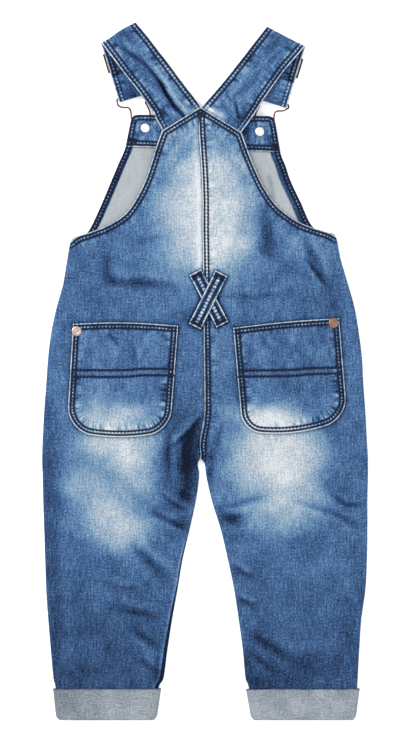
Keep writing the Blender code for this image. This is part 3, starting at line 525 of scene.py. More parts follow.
def resting_edge(x, y):
    """The outer face of an armhole edge that lies on the bib and its facing."""
    on_facing = (SEAM_GAP + FACING_WALL) * smooth(0, 8, y - facing_bottom(x) + 12)
    return bib_lift(x, y) + WALL + on_facing + SEAM_GAP + WALL + EDGE_CLEARANCE


def wash_and_shade(x, y):
    """How pale the back is, from its stone wash and from painted shade in its folds and creases: 0 is
    unwashed indigo and 1 is white.
    """
    x, y = np.asarray(x, float), np.asarray(y, float)
    total = np.full(np.shape(x), WASH_BASE)
    drift_x = x + FADE_DRIFT * uneven(x / 24, y / 24, 3)
    drift_y = y + FADE_DRIFT * uneven(x / 24, y / 24, 4)
    for mid_x, mid_y, half_x, half_y, turn, strength in FADES_AND_SHADE:
        tilt = math.radians(turn)
        across = (drift_x - mid_x) * math.cos(tilt) + (drift_y - mid_y) * math.sin(tilt)
        up = (drift_y - mid_y) * math.cos(tilt) - (drift_x - mid_x) * math.sin(tilt)
        reach = (across / half_x) ** 2 + (up / half_y) ** 2
        total += strength * np.exp(-(reach**FADE_EDGE))
    crinkles = uneven((np.abs(x) + 0.6 * y) / 4, (y - 0.6 * np.abs(x)) / 16, 6)
    total += CRINKLE_TONE * crinkles * smooth(*CRINKLE_Y, y)
    # painted shade in the troughs of folds and creases, and paler worn ridges
    drape = 0.25 * folds(x, y) + creased(x, y, CREASES, toned=True)
    return total + CREASE_WEAR_AND_SHADE * np.clip(drape, -3.0, 2.0)


def spread(width, runs, inside, spare):
    """Distances across sections of some widths, close together near both edges.

    Each comes with how far the cloth has risen from its first edge and from its last.
    """
    stops = np.array(EDGE_STOPS + tuple(spare))
    width = np.asarray(width, float)[:, None]
    near = np.broadcast_to(stops, (len(width), len(stops)))
    shares = np.arange(1, inside + 1) / (inside + 1)
    middle = stops[-1] + (width - 2 * stops[-1]) * shares
    away = np.concatenate((near, middle, width - near[:, ::-1]), axis=1)
    risen = []
    for run, distance in zip(runs, (away, width - away)):
        short = 1 - np.clip(distance / np.asarray(run, float).reshape(-1, 1), 0, 1)
        risen.append(np.sqrt(np.clip(1 - short**2, 0, 1)))
    return away, risen


def sections(rows, level, edges, inside, run=SIDE_RUN, spare=()):
    """A grid of points: one section across the cloth for each row's two ends, as x, y, x, y.

    The edges are the heights of both ends, and run is how wide the first end's slope is.
    """
    starts, ends = rows[:, :2], rows[:, 2:4]
    width = np.linalg.norm(ends - starts, axis=1)
    away, rises = spread(width, (run, SIDE_RUN), inside, spare)
    share = (away / width[:, None])[..., None]
    place = starts[:, None] + (ends - starts)[:, None] * share
    x, y = place[..., 0], place[..., 1]
    z = level(x, y)
    for height, risen in zip(edges, rises):
        z = z + (height[:, None] - z) * (1 - risen)
    return np.stack((x, y, z), axis=-1)


# ---------------------------------------------------------------- how pieces are made
MATERIALS = {}
SURFACES = {}  # each sheet's points and faces, to lay stitches on


def in_frame(points):
    """The tables' places in the part's own frame, in metres."""
    return (points - OUTLINE_MIDDLE) * MM


def sheet_faces(rows, columns, ring):
    """The faces of a grid, which closes on itself where it is a ring."""
    row, column = np.meshgrid(np.arange(rows - 1), np.arange(columns if ring else columns - 1))
    beyond = (column + 1) % columns
    corners = (row * columns + column, row * columns + beyond)
    corners += ((row + 1) * columns + beyond, (row + 1) * columns + column)
    return np.stack([c.ravel() for c in corners], axis=-1)


def smooth_mesh(name, points, faces, looks, marks):
    """A mesh with its materials, and the marks at its points that they read."""
    mesh = bpy.data.meshes.new(name)
    mesh.from_pydata(points.tolist(), [], faces)
    for mark, values in marks.items():
        kind, field = ("FLOAT_VECTOR", "vector") if values.shape[-1] == 3 else ("FLOAT", "value")
        made = mesh.attributes.new(mark, kind, "POINT")
        made.data.foreach_set(field, np.ascontiguousarray(values, np.float32).ravel())
    for look in looks:
        mesh.materials.append(MATERIALS[look])
    mesh.shade_smooth()
    return mesh


def placed(name, shape, nodes):
    """A piece on the body, in place of its solids."""
    piece = bpy.data.objects.new(name, shape)
    bpy.context.scene.collection.objects.link(piece)
    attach(piece, "root")
    if nodes:
        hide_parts(*nodes)
    return piece


def cloth(name, node, grid, wall, looks, marks, offset=-1.0, flip=False, ring=False,
          band=None):
    """A sheet on rows of points, thickened away from its outer face, in place of its solid.

    The looks are those of its outer and inner face, and then those of the band's two faces.
    """
    size = grid.shape[:2]
    faces = sheet_faces(*size, ring)
    if flip:
        faces = faces[:, ::-1]
    points = in_frame(grid.reshape(-1, 3))
    flat_marks = {}
    for mark, values in marks.items():
        whole = np.broadcast_to(values, size + np.shape(values)[2:])
        flat_marks[mark] = whole.reshape(len(points), -1)
    mesh = smooth_mesh(name, points, faces.tolist(), looks, flat_marks)
    if band is not None:
        mesh.polygons.foreach_set("material_index", np.where(band.ravel()[faces[:, 0]], 2, 0))
    piece = placed(name, mesh, [node])
    thickness = piece.modifiers.new("thickness", "SOLIDIFY")
    thickness.thickness = wall * MM
    thickness.offset = offset
    thickness.material_offset = 1
    SURFACES[name] = (points, faces)


def grain(x, y, seed):
    """Where each point was on the cloth before it was sewn, which carries the weave."""
    return np.stack(np.broadcast_arrays(x, y, 100.0 * seed), axis=-1)


def seam_mark(away, along, edge=1.0):
    """What the denim needs beside a seam: the distance, the place along it, how pale the edge is."""
    away = np.where(away < 0, FAR, away)
    return np.stack(np.broadcast_arrays(away, along, np.float64(edge)), axis=-1)


def seam_relief(away, along, seed):
    """The turned hem's thickness, and the puckers beside it."""
    band = BAND_THICKNESS * (1 - smooth(ROW_2 + 0.2, ROW_2 + 2.2, away))
    ripple = uneven(along / 4.5, away / 9, seed)
    return band + PUCKER * ripple * bell(away - 8, 5.5)


# ---------------------------------------------------------------- back and legs
def edge_line(side):
    """A back panel's finished edge, from the side seam up the armhole and along the shoulder."""
    rows = [(x, y) for x, y, _, _ in YOKES[side]]
    armhole = curve(rows[::-1], 1.5)
    point = (centre_x(YOKE_POINT_Y), YOKES[side][0][2])
    return np.concatenate((armhole, spaced((rows[0], point), 1.5)[1:]))


def centre_line():
    y = np.linspace(YOKE_POINT_Y, CROTCH_Y, 200)
    return np.stack((centre_x(y), y), axis=-1)


def back_rows(side):
    """Every section of a back panel, as edge x, edge y, inner x, inner y, run and closed."""
    off_centre = (-1 if side == "left" else 1) * SEAM_GAP / 2
    rows = []
    for edge_x, edge_y, centre_y, run in YOKES[side]:
        rows.append((edge_x, edge_y, centre_x(centre_y) + off_centre, centre_y, run, 0.0))
    for y, side_x, inseam_x in LEGS[side]:
        if inseam_x is None:
            rows.append((side_x, y, centre_x(y) + off_centre, y, SIDE_RUN, 0.0))
        else:
            rows.append((side_x, y, inseam_x, y, SIDE_RUN, 1.0))
    return rows


def back_grid(side):
    """A back panel's points, and the x of its inner edge at each section."""
    rows = curve(back_rows(side), BACK_SPACING)
    edge_x, edge_y, inner_x, inner_y, run, closed = rows.T
    closed = np.clip(closed, 0, 1)
    joined = 1 - smooth(0, 1, edge_y - YOKES[side][-1][1])
    seam_z = BACK_SEAM_LEVEL + cuff_rise(edge_y)
    free_z = np.minimum(resting_edge(edge_x, edge_y), back_level(edge_x, edge_y))
    edge_z = free_z + (seam_z - free_z) * joined
    inner_z = back_level(inner_x, inner_y) * (1 - closed) + seam_z * closed
    columns = round(PANEL_WIDTH / BACK_SPACING)
    grid = sections(rows, back_level, (edge_z, inner_z), columns, np.maximum(run, SIDE_RUN))
    return grid, inner_x


def rolled_inseam(away, y):
    """The tone where the left inseam rolls towards the back: a dark strip inside a pale edge."""
    low = 1 - smooth(-172.0, -160.0, y)
    width = 1.2 + 2.6 * (1 - smooth(-300.0, -190.0, y))
    strip = 1 - smooth(width - 0.6, width + 0.6, away)
    return low * (0.20 * bell(away - width - 1.1, 0.9) - 0.30 * strip)


def tab_axes(name):
    """A tab's ends and length, and its directions along and across."""
    start, end = (np.array(place) for place in TABS[name])
    length = np.linalg.norm(end - start)
    along = (end - start) / length
    return start, end, length, along, np.array((-along[1], along[0]))


def tab_outline(name):
    start, end, _, _, across = tab_axes(name)
    aside = across * TAB_WIDTH / 2
    return np.array((start + aside, end + aside, end - aside, start - aside, start + aside))


def back_tone(side, x, y, centre_away):
    """A back panel's wash and fold shade, darker beside the pockets and tabs with painted shadow, and paler
    beside the centre.
    """
    tone = wash_and_shade(x, y)
    pocket_lines = (spaced(pocket_edge(side), 4.0), pocket_place(side, np.linspace(0, 1, 24), 0.0))
    tab_lines = tuple(tab_outline(name) for name in TABS)
    for lines, marks in ((pocket_lines + tab_lines, PAINTED_EDGE_SHADOW), (tab_lines, TABS_PAINTED_SHADOW)):
        for line in lines:
            away, _ = beside(x, y, line)
            for strength, width in marks:
                tone = tone - strength * bell(away, width)
    return tone + 0.15 * bell(centre_away - 3.9, 2.2) * smooth(0.5, 0.8, tone)


def back_panel(side):
    """One piece from shoulder to hem. The right one is folded over the left at the centre seam."""
    left = side == "left"
    grid, inner_x = back_grid(side)
    x, y = grid[..., 0], grid[..., 1]
    edge_away, edge_along = beside(x, y, edge_line(side))
    edge_away = -edge_away if left else edge_away
    edge_away = np.where(edge_away < -0.5, FAR, np.maximum(edge_away, 0))
    centre_away, centre_along = nearest(x, y, centre_line())
    grid[..., 2] += seam_relief(edge_away, edge_along, 21)
    tone = back_tone(side, x, y, centre_away)
    if left:
        grid[..., 2] += PUCKER * uneven(centre_along / 5, centre_away / 9, 23) * bell(centre_away, 9)
        # a painted shadow of the right panel's felled edge, along the centre seam
        tone = tone - 0.3 * bell(centre_away, 0.9)
        tone = tone + rolled_inseam(inner_x[:, None] - x, y)
        centre_away = np.full(x.shape, FAR)
    else:
        below_edge = np.minimum(edge_away, 20) / 20
        grid[..., 2] += seam_relief(centre_away, centre_along, 22) * below_edge
    marks = {
        "cloth": grain(x, y, 1 if left else 2),
        "wash_and_shade": tone,
        "seam_1": seam_mark(edge_away, edge_along),
        "seam_2": seam_mark(centre_away, centre_along, 0.8),
        "gather": 0.45 + 0.45 * smooth(205.0, 240.0, y),
    }
    looks = ("denim", "wrong_side")
    cloth(f"back_panel_{side}", f"back_{side}", grid, WALL, looks, marks, flip=left)


def front_leg(side):
    """The front of the leg, flat on the surface, with a plain fade over the thigh."""
    left = side == "left"
    waist_x = BIB[-1][0] if left else BIB[-1][2]
    waist_y = WAIST_Y - SEAM_GAP
    rows = [(waist_x, waist_y, centre_x(waist_y), waist_y, SIDE_RUN, 0.0)]
    rows = curve(rows + [row for row in back_rows(side) if row[1] < waist_y], HIDDEN_SPACING)
    _, edge_y, _, inner_y, _, closed = rows.T
    closed = np.clip(closed, 0, 1)
    seam_z = FRONT_SEAM_LEVEL + cuff_rise(edge_y)
    inner_z = cuff_rise(inner_y) * (1 - closed) + seam_z * closed
    grid = sections(rows, front_level, (seam_z, inner_z), round(PANEL_WIDTH / HIDDEN_SPACING))
    x, y = grid[..., 0], grid[..., 1]
    centre_away, centre_along = nearest(x, y, centre_line())
    marks = {
        "cloth": grain(x, y, 3 if left else 4),
        "wash_and_shade": WASH_BASE + 0.3 * np.exp(-(((x - np.sign(x) * 78) / 44) ** 2 + ((y + 95) / 70) ** 2)),
        "seam_1": seam_mark(waist_y - y, x),
        "seam_2": seam_mark(np.full(x.shape, FAR) if left else centre_away, centre_along),
    }
    looks = ("denim", "wrong_side")
    cloth(f"leg_front_{side}", f"front_leg_{side}", grid, WALL, looks, marks, flip=not left)


# ---------------------------------------------------------------- bib
def bib_grid(rows):
    left_x, left_y, right_x, right_y, seam = rows.T
    sewn = FRONT_SEAM_LEVEL * np.clip(seam, 0, 1)
    edges = (np.maximum(sewn, bib_lift(left_x, left_y)), np.maximum(sewn, bib_lift(right_x, right_y)))
    return sections(rows, bib_lift, edges, BIB_COLUMNS, spare=HEM_STOPS)


def bib_edge(side):
    """The bib's side edge, from the waist to its top corner."""
    first = 0 if side == "left" else 2
    return curve([row[first : first + 2] for row in BIB][::-1], 2.0)


def bib():
    """The bib, wrong side up with its turned side hems."""
    grid = bib_grid(curve(BIB, 1.9))
    x, y = grid[..., 0], grid[..., 1]
    away, along = nearest(x, y, bib_edge("right"), bib_edge("left"))
    left, right = (len(EDGE_STOPS) + HEM_COLUMNS[side] for side in SIDES)
    hem = np.zeros(x.shape, bool)
    hem[:, : left - 1] = True
    hem[:, -right:] = True
    crease_away, _ = beside(x, y, BIB_CREASE_SHADE)
    dusk = 0.05 * uneven(x / 30, y / 50, 31)
    marks = {
        "cloth": grain(x, y, 5),
        # the crease is a line of painted shade
        "wash_and_shade": np.where(hem, HEM_TONE, BIB_TONE) + dusk - 0.20 * bell(crease_away, 2.2),
        "seam_1": seam_mark(away + 1.0, along, 0.0),
    }
    looks = ("denim", "wrong_side", "denim", "denim")
    cloth("bib_sheet", "bib", grid, WALL, looks, marks, band=hem)


def facing():
    """The strip inside the bib's top edge, right side up, with a darker patch beside the right button."""
    grid = bib_grid(curve(BIB[: FACING_ROWS + 1], 1.1))
    grid[..., 2] += WALL + SEAM_GAP
    x, y = grid[..., 0], grid[..., 1]
    top = (BIB[0][:2], BIB[0][2:4])
    away, along = nearest(x, y, bib_edge("right"), bib_edge("left"), top)
    tone = FACING_TONE + 0.16 * uneven(x / 9, y / 9, 33) + 0.14 * uneven(x / 3.5, y / 5, 34)
    marks = {
        "cloth": grain(x, y, 6),
        "wash_and_shade": tone - 0.15 * bell(x - 38, 11) - 0.03 * smooth(0, 30, x),
        "seam_1": seam_mark(away + 0.9, along, 0.0),
        "seam_2": seam_mark(np.maximum(y - facing_bottom(x), 0), x),
        "gather": 0.5,
    }
    cloth("facing_strip", "bib_facing", grid, FACING_WALL, ("denim", "denim"), marks)


# ---------------------------------------------------------------- straps
class StrapPath:
    """Where a strap's cloth lies: flat from the yoke, over the shoulder fold, and round the bar.

    A place on the strip is its distance along the axis, 0 at the fold's middle, and its distance
    from the axis towards the neck.
    """

    def __init__(self, side):
        spec = STRAPS[side]
        corners = ("yoke_outer", "yoke_inner", "fold_outer", "fold_inner")
        seam_outer, seam_inner, outer, inner = (np.array(spec[corner]) for corner in corners)
        self.pull, self.edge_rows = spec["pull"], np.array(spec["edges"])
        self.fold = (inner - outer) / np.linalg.norm(inner - outer)
        self.middle = (outer + inner) / 2
        axis = self.middle - (seam_outer + seam_inner) / 2
        self.axis = axis / np.linalg.norm(axis)
        self.across = np.array((self.axis[1], -self.axis[0]))
        if self.across @ self.fold < 0:
            self.across = -self.across
        ahead = self.axis - self.fold * (self.axis @ self.fold)
        self.ahead = ahead / np.linalg.norm(ahead)
        self.inset = STRAP_FOLD_RADIUS + STRAP_WALL / 2
        self.starts = [(corner - self.middle) @ self.axis for corner in (seam_outer, seam_inner)]
        self.arc = math.pi * STRAP_FOLD_RADIUS
        self.slider = [self.arc - 2 * self.inset + distance for distance in spec["slider"]]
        self.bar = self.arc - 2 * self.inset + spec["drop"]

    def start_at(self, share):
        """Where the strap starts along the axis, for shares from the outer edge to the inner one."""
        return self.starts[0] + (self.starts[1] - self.starts[0]) * share

    def along_at(self, ahead, aside):
        skew = aside * (self.across @ self.ahead)
        return (ahead - self.inset - skew) / (self.axis @ self.ahead)

    def edges(self, along):
        """The edges' distances from the axis, away from the neck and towards it."""
        rows = self.edge_rows
        i = np.clip(np.searchsorted(rows[:, 0], along) - 1, 0, len(rows) - 2)
        t = smooth(rows[i, 0], rows[i + 1, 0], along)
        outer, inner = (rows[i, k] + (rows[i + 1, k] - rows[i, k]) * t for k in (1, 2))
        return -outer, inner

    def point(self, along, aside, lift=0.0):
        """A place in the cloth, lifted by some height towards its outer face."""
        along, aside = np.broadcast_arrays(np.asarray(along, float), np.asarray(aside, float))
        past_bar = along - self.bar
        angle = np.clip(past_bar / LOOP_RADIUS, 0, math.pi)
        beyond = np.maximum(past_bar - math.pi * LOOP_RADIUS, 0)
        looped = past_bar > 0
        bent = self.bar + (LOOP_RADIUS + lift) * np.sin(angle) - beyond
        inward = LOOP_RADIUS - (LOOP_RADIUS + lift) * np.cos(angle)
        inward = np.where(looped, inward, self.slider_rise(along) - lift)
        along = np.where(looped, bent, along)
        flat = along[..., None] * self.axis + aside[..., None] * self.across
        line = flat @ self.fold
        ahead = flat @ self.ahead + self.inset
        angle = np.clip(ahead / STRAP_FOLD_RADIUS, 0, math.pi)
        radius = STRAP_FOLD_RADIUS - inward
        reach = np.where(ahead < 0, ahead, radius * np.sin(angle))
        reach = reach - np.maximum(ahead - math.pi * STRAP_FOLD_RADIUS, 0)
        place = self.middle + line[..., None] * self.fold + (reach - self.inset)[..., None] * self.ahead
        place = place + self.pulled(ahead, aside)[..., None] * self.axis
        z = (STRAP_TOP_MID + STRAP_LOW_MID) / 2 + radius * np.cos(angle)
        return np.concatenate((place, z[..., None]), axis=-1)

    def pulled(self, ahead, aside):
        """How far the cloth near the fold is pulled out along the axis, both layers alike."""
        begins, whole, ends = PULL_REACH
        outer, neck = self.pull
        share = smooth(0.0, 0.7, (aside + STRAP_HALF) / (2 * STRAP_HALF))
        near = smooth(begins, whole, ahead) * (1 - smooth(self.arc, self.arc + ends, ahead))
        return (outer + (neck - outer) * share) * near

    def slider_rise(self, along):
        (first, last), (far_up, near_up, near_down, far_down) = self.slider, SLIDER_SLOPES
        up = smooth(first - far_up, first - near_up, along)
        down = smooth(last + near_down, last + far_down, along)
        return SLIDER_RISE * up * (1 - down)

    def hanging(self, along, aside):
        """A flat place on the lower strap's plane, measured down from the buckle's bar."""
        bar, above = (self.point(place, aside)[:2] for place in (self.bar, self.bar - 1.0))
        return bar + (bar - above) / np.linalg.norm(bar - above) * along


def strap_relief(place, along):
    """The creases on the layer that shows."""
    x, y = place[..., 0], place[..., 1]
    shown = 1 - smooth(-12.0, -2.0, along)
    relief = creased(x, y, STRAP_CREASES) * shown
    relief += 0.25 * uneven(x / 14, y / 14, 41) * shown
    return relief


def strap_rows(path, share):
    """Places along the axis, row by row from the yoke to the sewn-back end."""
    aside = STRAP_HALF * (2 * share - 1)
    loop_end = path.bar + math.pi * LOOP_RADIUS
    stops = [path.start_at(share), path.along_at(0, aside), path.along_at(path.arc, aside)]
    stops += [np.full_like(share, s) for s in (path.bar, loop_end, loop_end + STRAP_TAIL)]
    rows = [stops[0]]
    for first, last, steps in zip(stops, stops[1:], STRAP_STEPS):
        rows += [first + (last - first) * (k + 1) / steps for k in range(steps)]
    return np.array(rows)


def strap(side, path):
    """A doubled strap, paler along its hems and by the yoke, and darker below its fold with painted shade.
    """
    inside = np.linspace(0.03, 0.97, STRAP_COLUMNS)
    share = np.concatenate(([0, 0.004, 0.014], inside, [0.986, 0.996, 1]))
    along = strap_rows(path, share)
    outer, inner = path.edges(along)
    place = outer + (inner - outer) * share
    grid = path.point(along, place, strap_relief(path.point(along, place), along))
    from_outer, from_inner = place - outer, inner - place
    start_away = along - path.start_at(share)
    # the creases set the tone: painted shade in their troughs, and paler worn ridges
    wear = creased(grid[..., 0], grid[..., 1], STRAP_CREASES)
    tone = STRAP_TONE + CREASE_WEAR_AND_SHADE * np.clip(wear, -3.0, 1.6)
    tone += 0.10 * uneven(place / 9, along / 16, 43) - 0.04 * (1 - smooth(0, 30, start_away))
    tone += 0.11 * (1 - smooth(5, 15, start_away))
    tone += 0.09 * uneven(place / 4 + along / 30, along / 12, 44)
    for away in (from_outer, from_inner + 0.8):
        tone += 0.09 * (1 - smooth(5.0, 8.0, away)) * smooth(0.9, 1.6, away)
    if side == "right":  # a fold beside the neck's point catches the light
        near_point = smooth(0.35, 0.8, share) * (1 - smooth(0.93, 0.96, share))
        tone += 0.36 * bell(start_away - 3.2, 2.6) * near_point
    # painted shade on the layer below the fold
    tone -= HANGING_PAINTED_SHADE[side] * smooth(5, 20, along)
    marks = {
        "cloth": grain(place, along, 7 if side == "left" else 8),
        "wash_and_shade": tone,
        "seam_1": seam_mark(np.maximum(from_outer, 0), along),
        "seam_2": seam_mark(np.maximum(from_inner, 0) + 0.8, along, 0.0),
        "gather": 0.7,
    }
    looks = ("denim", "denim")
    cloth(f"shoulder_strap_{side}", f"strap_{side}", grid, STRAP_WALL, looks, marks, offset=0.0)


# ---------------------------------------------------------------- pockets, tabs and turn-ups
def pocket_place(side, u, v):
    """A place on a pocket, with u from its left side to its right and v from its top to its bottom."""
    top_left, top_right, bottom_left, bottom_right, corner, sag, top_bow = map(np.array, POCKETS[side])
    width = np.linalg.norm(bottom_right - bottom_left)
    short = np.clip(corner - np.minimum(u, 1 - u) * width, 0, corner)
    cut = corner - np.sqrt(corner**2 - short**2)
    u, v, cut = np.broadcast_arrays(u, v, cut)
    top = top_left + (top_right - top_left) * u[..., None]
    bottom = bottom_left + (bottom_right - bottom_left) * u[..., None]
    bow = np.sin(math.pi * u)
    top_y = top[..., 1] + top_bow * bow
    bottom_y = bottom[..., 1] + cut - sag * bow
    x = top[..., 0] + (bottom[..., 0] - top[..., 0]) * v
    y = top_y + (bottom_y - top_y) * v
    return np.stack((x, y), axis=-1)


def across_pocket(side, angles, between):
    """Places from a pocket's left side to its right, close together in its lower corners."""
    _, _, bottom_left, bottom_right, corner, _, _ = POCKETS[side]
    turn = corner * (1 - np.cos(angles)) / math.dist(bottom_left, bottom_right)
    middle = np.linspace(turn[-1], 1 - turn[-1], between)
    return np.concatenate((turn, middle[1:-1], 1 - turn[::-1]))


def pocket_edge(side):
    """The sewn edge, from the top left corner round the bottom to the top right."""
    u = across_pocket(side, np.linspace(0, math.pi / 2, 24), 60)
    down = pocket_place(side, 0.0, np.linspace(0, 1, 50)[:-1])
    up = pocket_place(side, 1.0, np.linspace(1, 0, 50)[1:])
    return spaced(np.concatenate((down, pocket_place(side, u, 1.0), up)), 1.2)


def pocket(side):
    u = across_pocket(side, np.concatenate(([0.0], np.linspace(0, math.pi / 2, 22)[4:])), 62)
    place = pocket_place(side, u[None, :], np.linspace(0, 1, 96)[:, None])
    x, y = place[..., 0], place[..., 1]
    edge_away, edge_along = nearest(x, y, pocket_edge(side))
    top_away, top_along = nearest(x, y, pocket_place(side, np.linspace(0, 1, 60), 0.0))
    z = back_level(x, y) + SEAM_GAP + WALL + creased(x, y, POCKET_CREASES)
    z += seam_relief(edge_away, edge_along, 51) + 0.7 * seam_relief(top_away, top_along, 52)
    z += 0.35 * smooth(0, 30, edge_away) * (1 + uneven(x / 16, y / 22, 53))
    # the pocket's creases add painted shade in their troughs and paler worn ridges
    tone = wash_and_shade(x, y) + CREASE_WEAR_AND_SHADE * creased(x, y, POCKET_CREASES)
    # painted shade beside each level row of stitches
    for row in MID_ROWS[side]:
        line = np.interp(x, np.linspace(x.min(), x.max(), 4), row)
        tone -= 0.12 * bell(y - line, 1.3)
    tone += 0.05 * uneven(x / 6, y / 11, 54)
    marks = {
        "cloth": grain(x, y, 9 if side == "left" else 10),
        "wash_and_shade": tone,
        "seam_1": seam_mark(edge_away, edge_along),
        "seam_2": seam_mark(top_away, top_along),
        "gather": 0.45 + 0.55 * smooth(20.0, -40.0, y),
    }
    grid, looks = np.stack((x, y, z), axis=-1), ("denim", "wrong_side")
    cloth(f"patch_pocket_{side}", f"pocket_{side}", grid, WALL, looks, marks, flip=True)


def tab(name):
    """A sewn strip. The upper one rises where it crosses the other."""
    start, end, length, _, across_step = tab_axes(name)
    share = np.linspace(0, 1, 72)[:, None]
    across = np.concatenate(([-1, -0.98, -0.93], np.linspace(-0.85, 0.85, 14), [0.93, 0.98, 1]))[None, :]
    place = start + (end - start) * share[..., None] + across_step * TAB_WIDTH / 2 * across[..., None]
    x, y = place[..., 0], place[..., 1]
    share, across = np.broadcast_arrays(share, across)
    side_away = (1 - np.abs(across)) * TAB_WIDTH / 2
    end_away = np.minimum(share, 1 - share) * length
    crossing = 1 - smooth(13.5, 24.0, np.abs(share - 0.5) * length)
    over = (TAB_WALL + SEAM_GAP) * crossing if name == "tab_over" else 0.0
    z = back_level(x, y) + SEAM_GAP + TAB_WALL + over
    z += 0.3 * smooth(0, 1.2, side_away) + 0.1 * uneven(x / 4, y / 4, 61)
    worn = 1.0 + 0.6 * uneven(share * length / 5, across * 1.5, 63)
    marks = {
        "cloth": grain(across * TAB_WIDTH / 2, share * length, 11),
        "wash_and_shade": TAB_TONE + 0.27 * bell(side_away - 6.5, 1.9) * (1 + uneven(x / 2.6, y / 2.6, 62)),
        "seam_1": seam_mark(np.interp(side_away, *TAB_SEAM), share * length, worn),
        "seam_2": seam_mark(end_away, across * TAB_WIDTH, worn),
    }
    grid = np.stack((x, y, z), axis=-1)
    cloth(f"crossed_{name}", name, grid, TAB_WALL, ("denim", "denim"), marks, flip=True)


def flattened_ring():
    """Round a leg's end: how far across each point is, and how far it leans out and up."""
    flat, lean = np.arange(66) / 66, np.radians(np.arange(0, 90, 10))
    side, out, up = 0 * lean, np.sin(lean), np.cos(lean)
    parts = (
        (flat, 0 * flat, 0 * flat - 1),
        (side + 1, out, -up),
        (side + 1, up, out),
        (1 - flat, 0 * flat, 0 * flat + 1),
        (side, -out, up),
        (side, -up, -out),
    )
    return np.concatenate([np.stack(part) for part in parts], axis=1)


def turned_under():
    """From the hidden end of a turn-up, round its lower fold, to its top: the share of the way up
    or down, how deep inside the outer layer, and how far beyond the share's place."""
    turn = (WALL + SEAM_GAP) / 2
    shares = np.linspace(0, 1, 24)
    bends = np.radians(np.arange(15, 181, 15))
    share = np.concatenate((shares, np.ones(len(bends) + 3)))
    depth = np.concatenate((0 * shares, turn * (1 - np.cos(bends)), np.full(3, 2 * turn)))
    beyond = np.concatenate((0 * shares, -turn * np.sin(bends), CUFF_HOOK * np.array((0.33, 0.67, 1))))
    return turn, (values[::-1, None] for values in (share, depth, beyond))


def turn_up(side):
    """The leg's end folded out and up: a flattened ring with its wrong side out."""
    top_y, bottom_y, top_x0, top_x1, bottom_x0, bottom_x1 = CUFFS[side]
    place, cosine, sine = flattened_ring()
    turn, (share, depth, beyond) = turned_under()
    x0 = top_x0 + (bottom_x0 - top_x0) * share + CUFF_RUN
    x1 = top_x1 + (bottom_x1 - top_x1) * share - CUFF_RUN
    climb = CUFF_CORNER * cosine**2 * (beyond < 0.5 * CUFF_HOOK)
    y = top_y + (bottom_y + turn + WALL / 2 + climb - top_y) * share + beyond
    x = x0 + (x1 - x0) * place + (CUFF_RUN - WALL / 2 - depth) * cosine
    z = CUFF_LEVEL / 2 + (CUFF_LEVEL / 2 - WALL / 2 - depth) * sine
    slack = uneven(x / 22, y / 16, 71) * 0.35 + uneven(x / 7, y / 9, 72) * 0.12
    z = z + np.clip(sine, 0, 1) * slack * (depth == 0)
    y = y + 0.5 * uneven(x / 16, 0 * x, 73) * (1 - share)
    shade = CUFF_TONE - 0.10 * (1 - smooth(-145, -80, x)) - 0.03 * smooth(-334, -318, y)
    marks = {
        "cloth": grain(x, y + 50 * sine, 12 if side == "left" else 13),
        # the turn-up is darker just below its top edge, a painted shadow line
        "wash_and_shade": shade + 0.06 * uneven(x / 12, y / 12, 74) - 0.30 * (1 - smooth(0.2, 1.5, top_y - y)),
        "seam_1": seam_mark(np.full(x.shape, FAR), 0.0),
    }
    grid, looks = np.stack((x, y, z), axis=-1), ("turned_cloth", "turned_cloth")
    name, node, slot = f"turned_hem_{side}", f"turn_up_{side}", "denim_wrong_side"
    cloth(name, node, grid, WALL, looks, marks, offset=0.0, ring=True)


# ---------------------------------------------------------------- topstitching
STITCHES = []  # tables of stitches: the middle, along, up, the length and the width
RANDOM = np.random.default_rng(7)


def beside_line(line, distance):
    """A line moved to its left, with mitred corners."""
    steps = np.diff(line, axis=0)
    steps /= np.linalg.norm(steps, axis=1)[:, None]
    left = np.stack((-steps[:, 1], steps[:, 0]), axis=-1)
    before = np.concatenate((left[:1], left))
    after = np.concatenate((left, left[-1:]))
    mitre = before + after
    mitre /= np.linalg.norm(mitre, axis=1)[:, None]
    open_by = np.maximum((mitre * after).sum(axis=1), 0.5)
    return line + mitre * (distance / open_by)[:, None]


def surface_of(*names):
    """The upper faces of some pieces, to lay stitches on."""
    points, faces, first = [], [], 0
    for name in names:
        piece_points, piece_faces = SURFACES[name]
        points.append(piece_points)
        faces.append(piece_faces + first)
        first += len(piece_points)
    return BVHTree.FromPolygons(np.concatenate(points).tolist(), np.concatenate(faces).tolist())


def laid_on(line, surface):
    """A flat line's places on a surface below it, in metres, with which way is up there."""
    points, ups = [], []
    for x, y in line:
        above = Vector(((x - OUTLINE_MIDDLE[0]) * MM, (y - OUTLINE_MIDDLE[1]) * MM, 0.05))
        hit, normal, _, _ = surface.ray_cast(above, Vector((0, 0, -1)))
        if hit is not None:
            points.append(hit)
            ups.append(normal if normal.z > 0 else -normal)
    return np.array(points).reshape(-1, 3), np.array(ups).reshape(-1, 3)


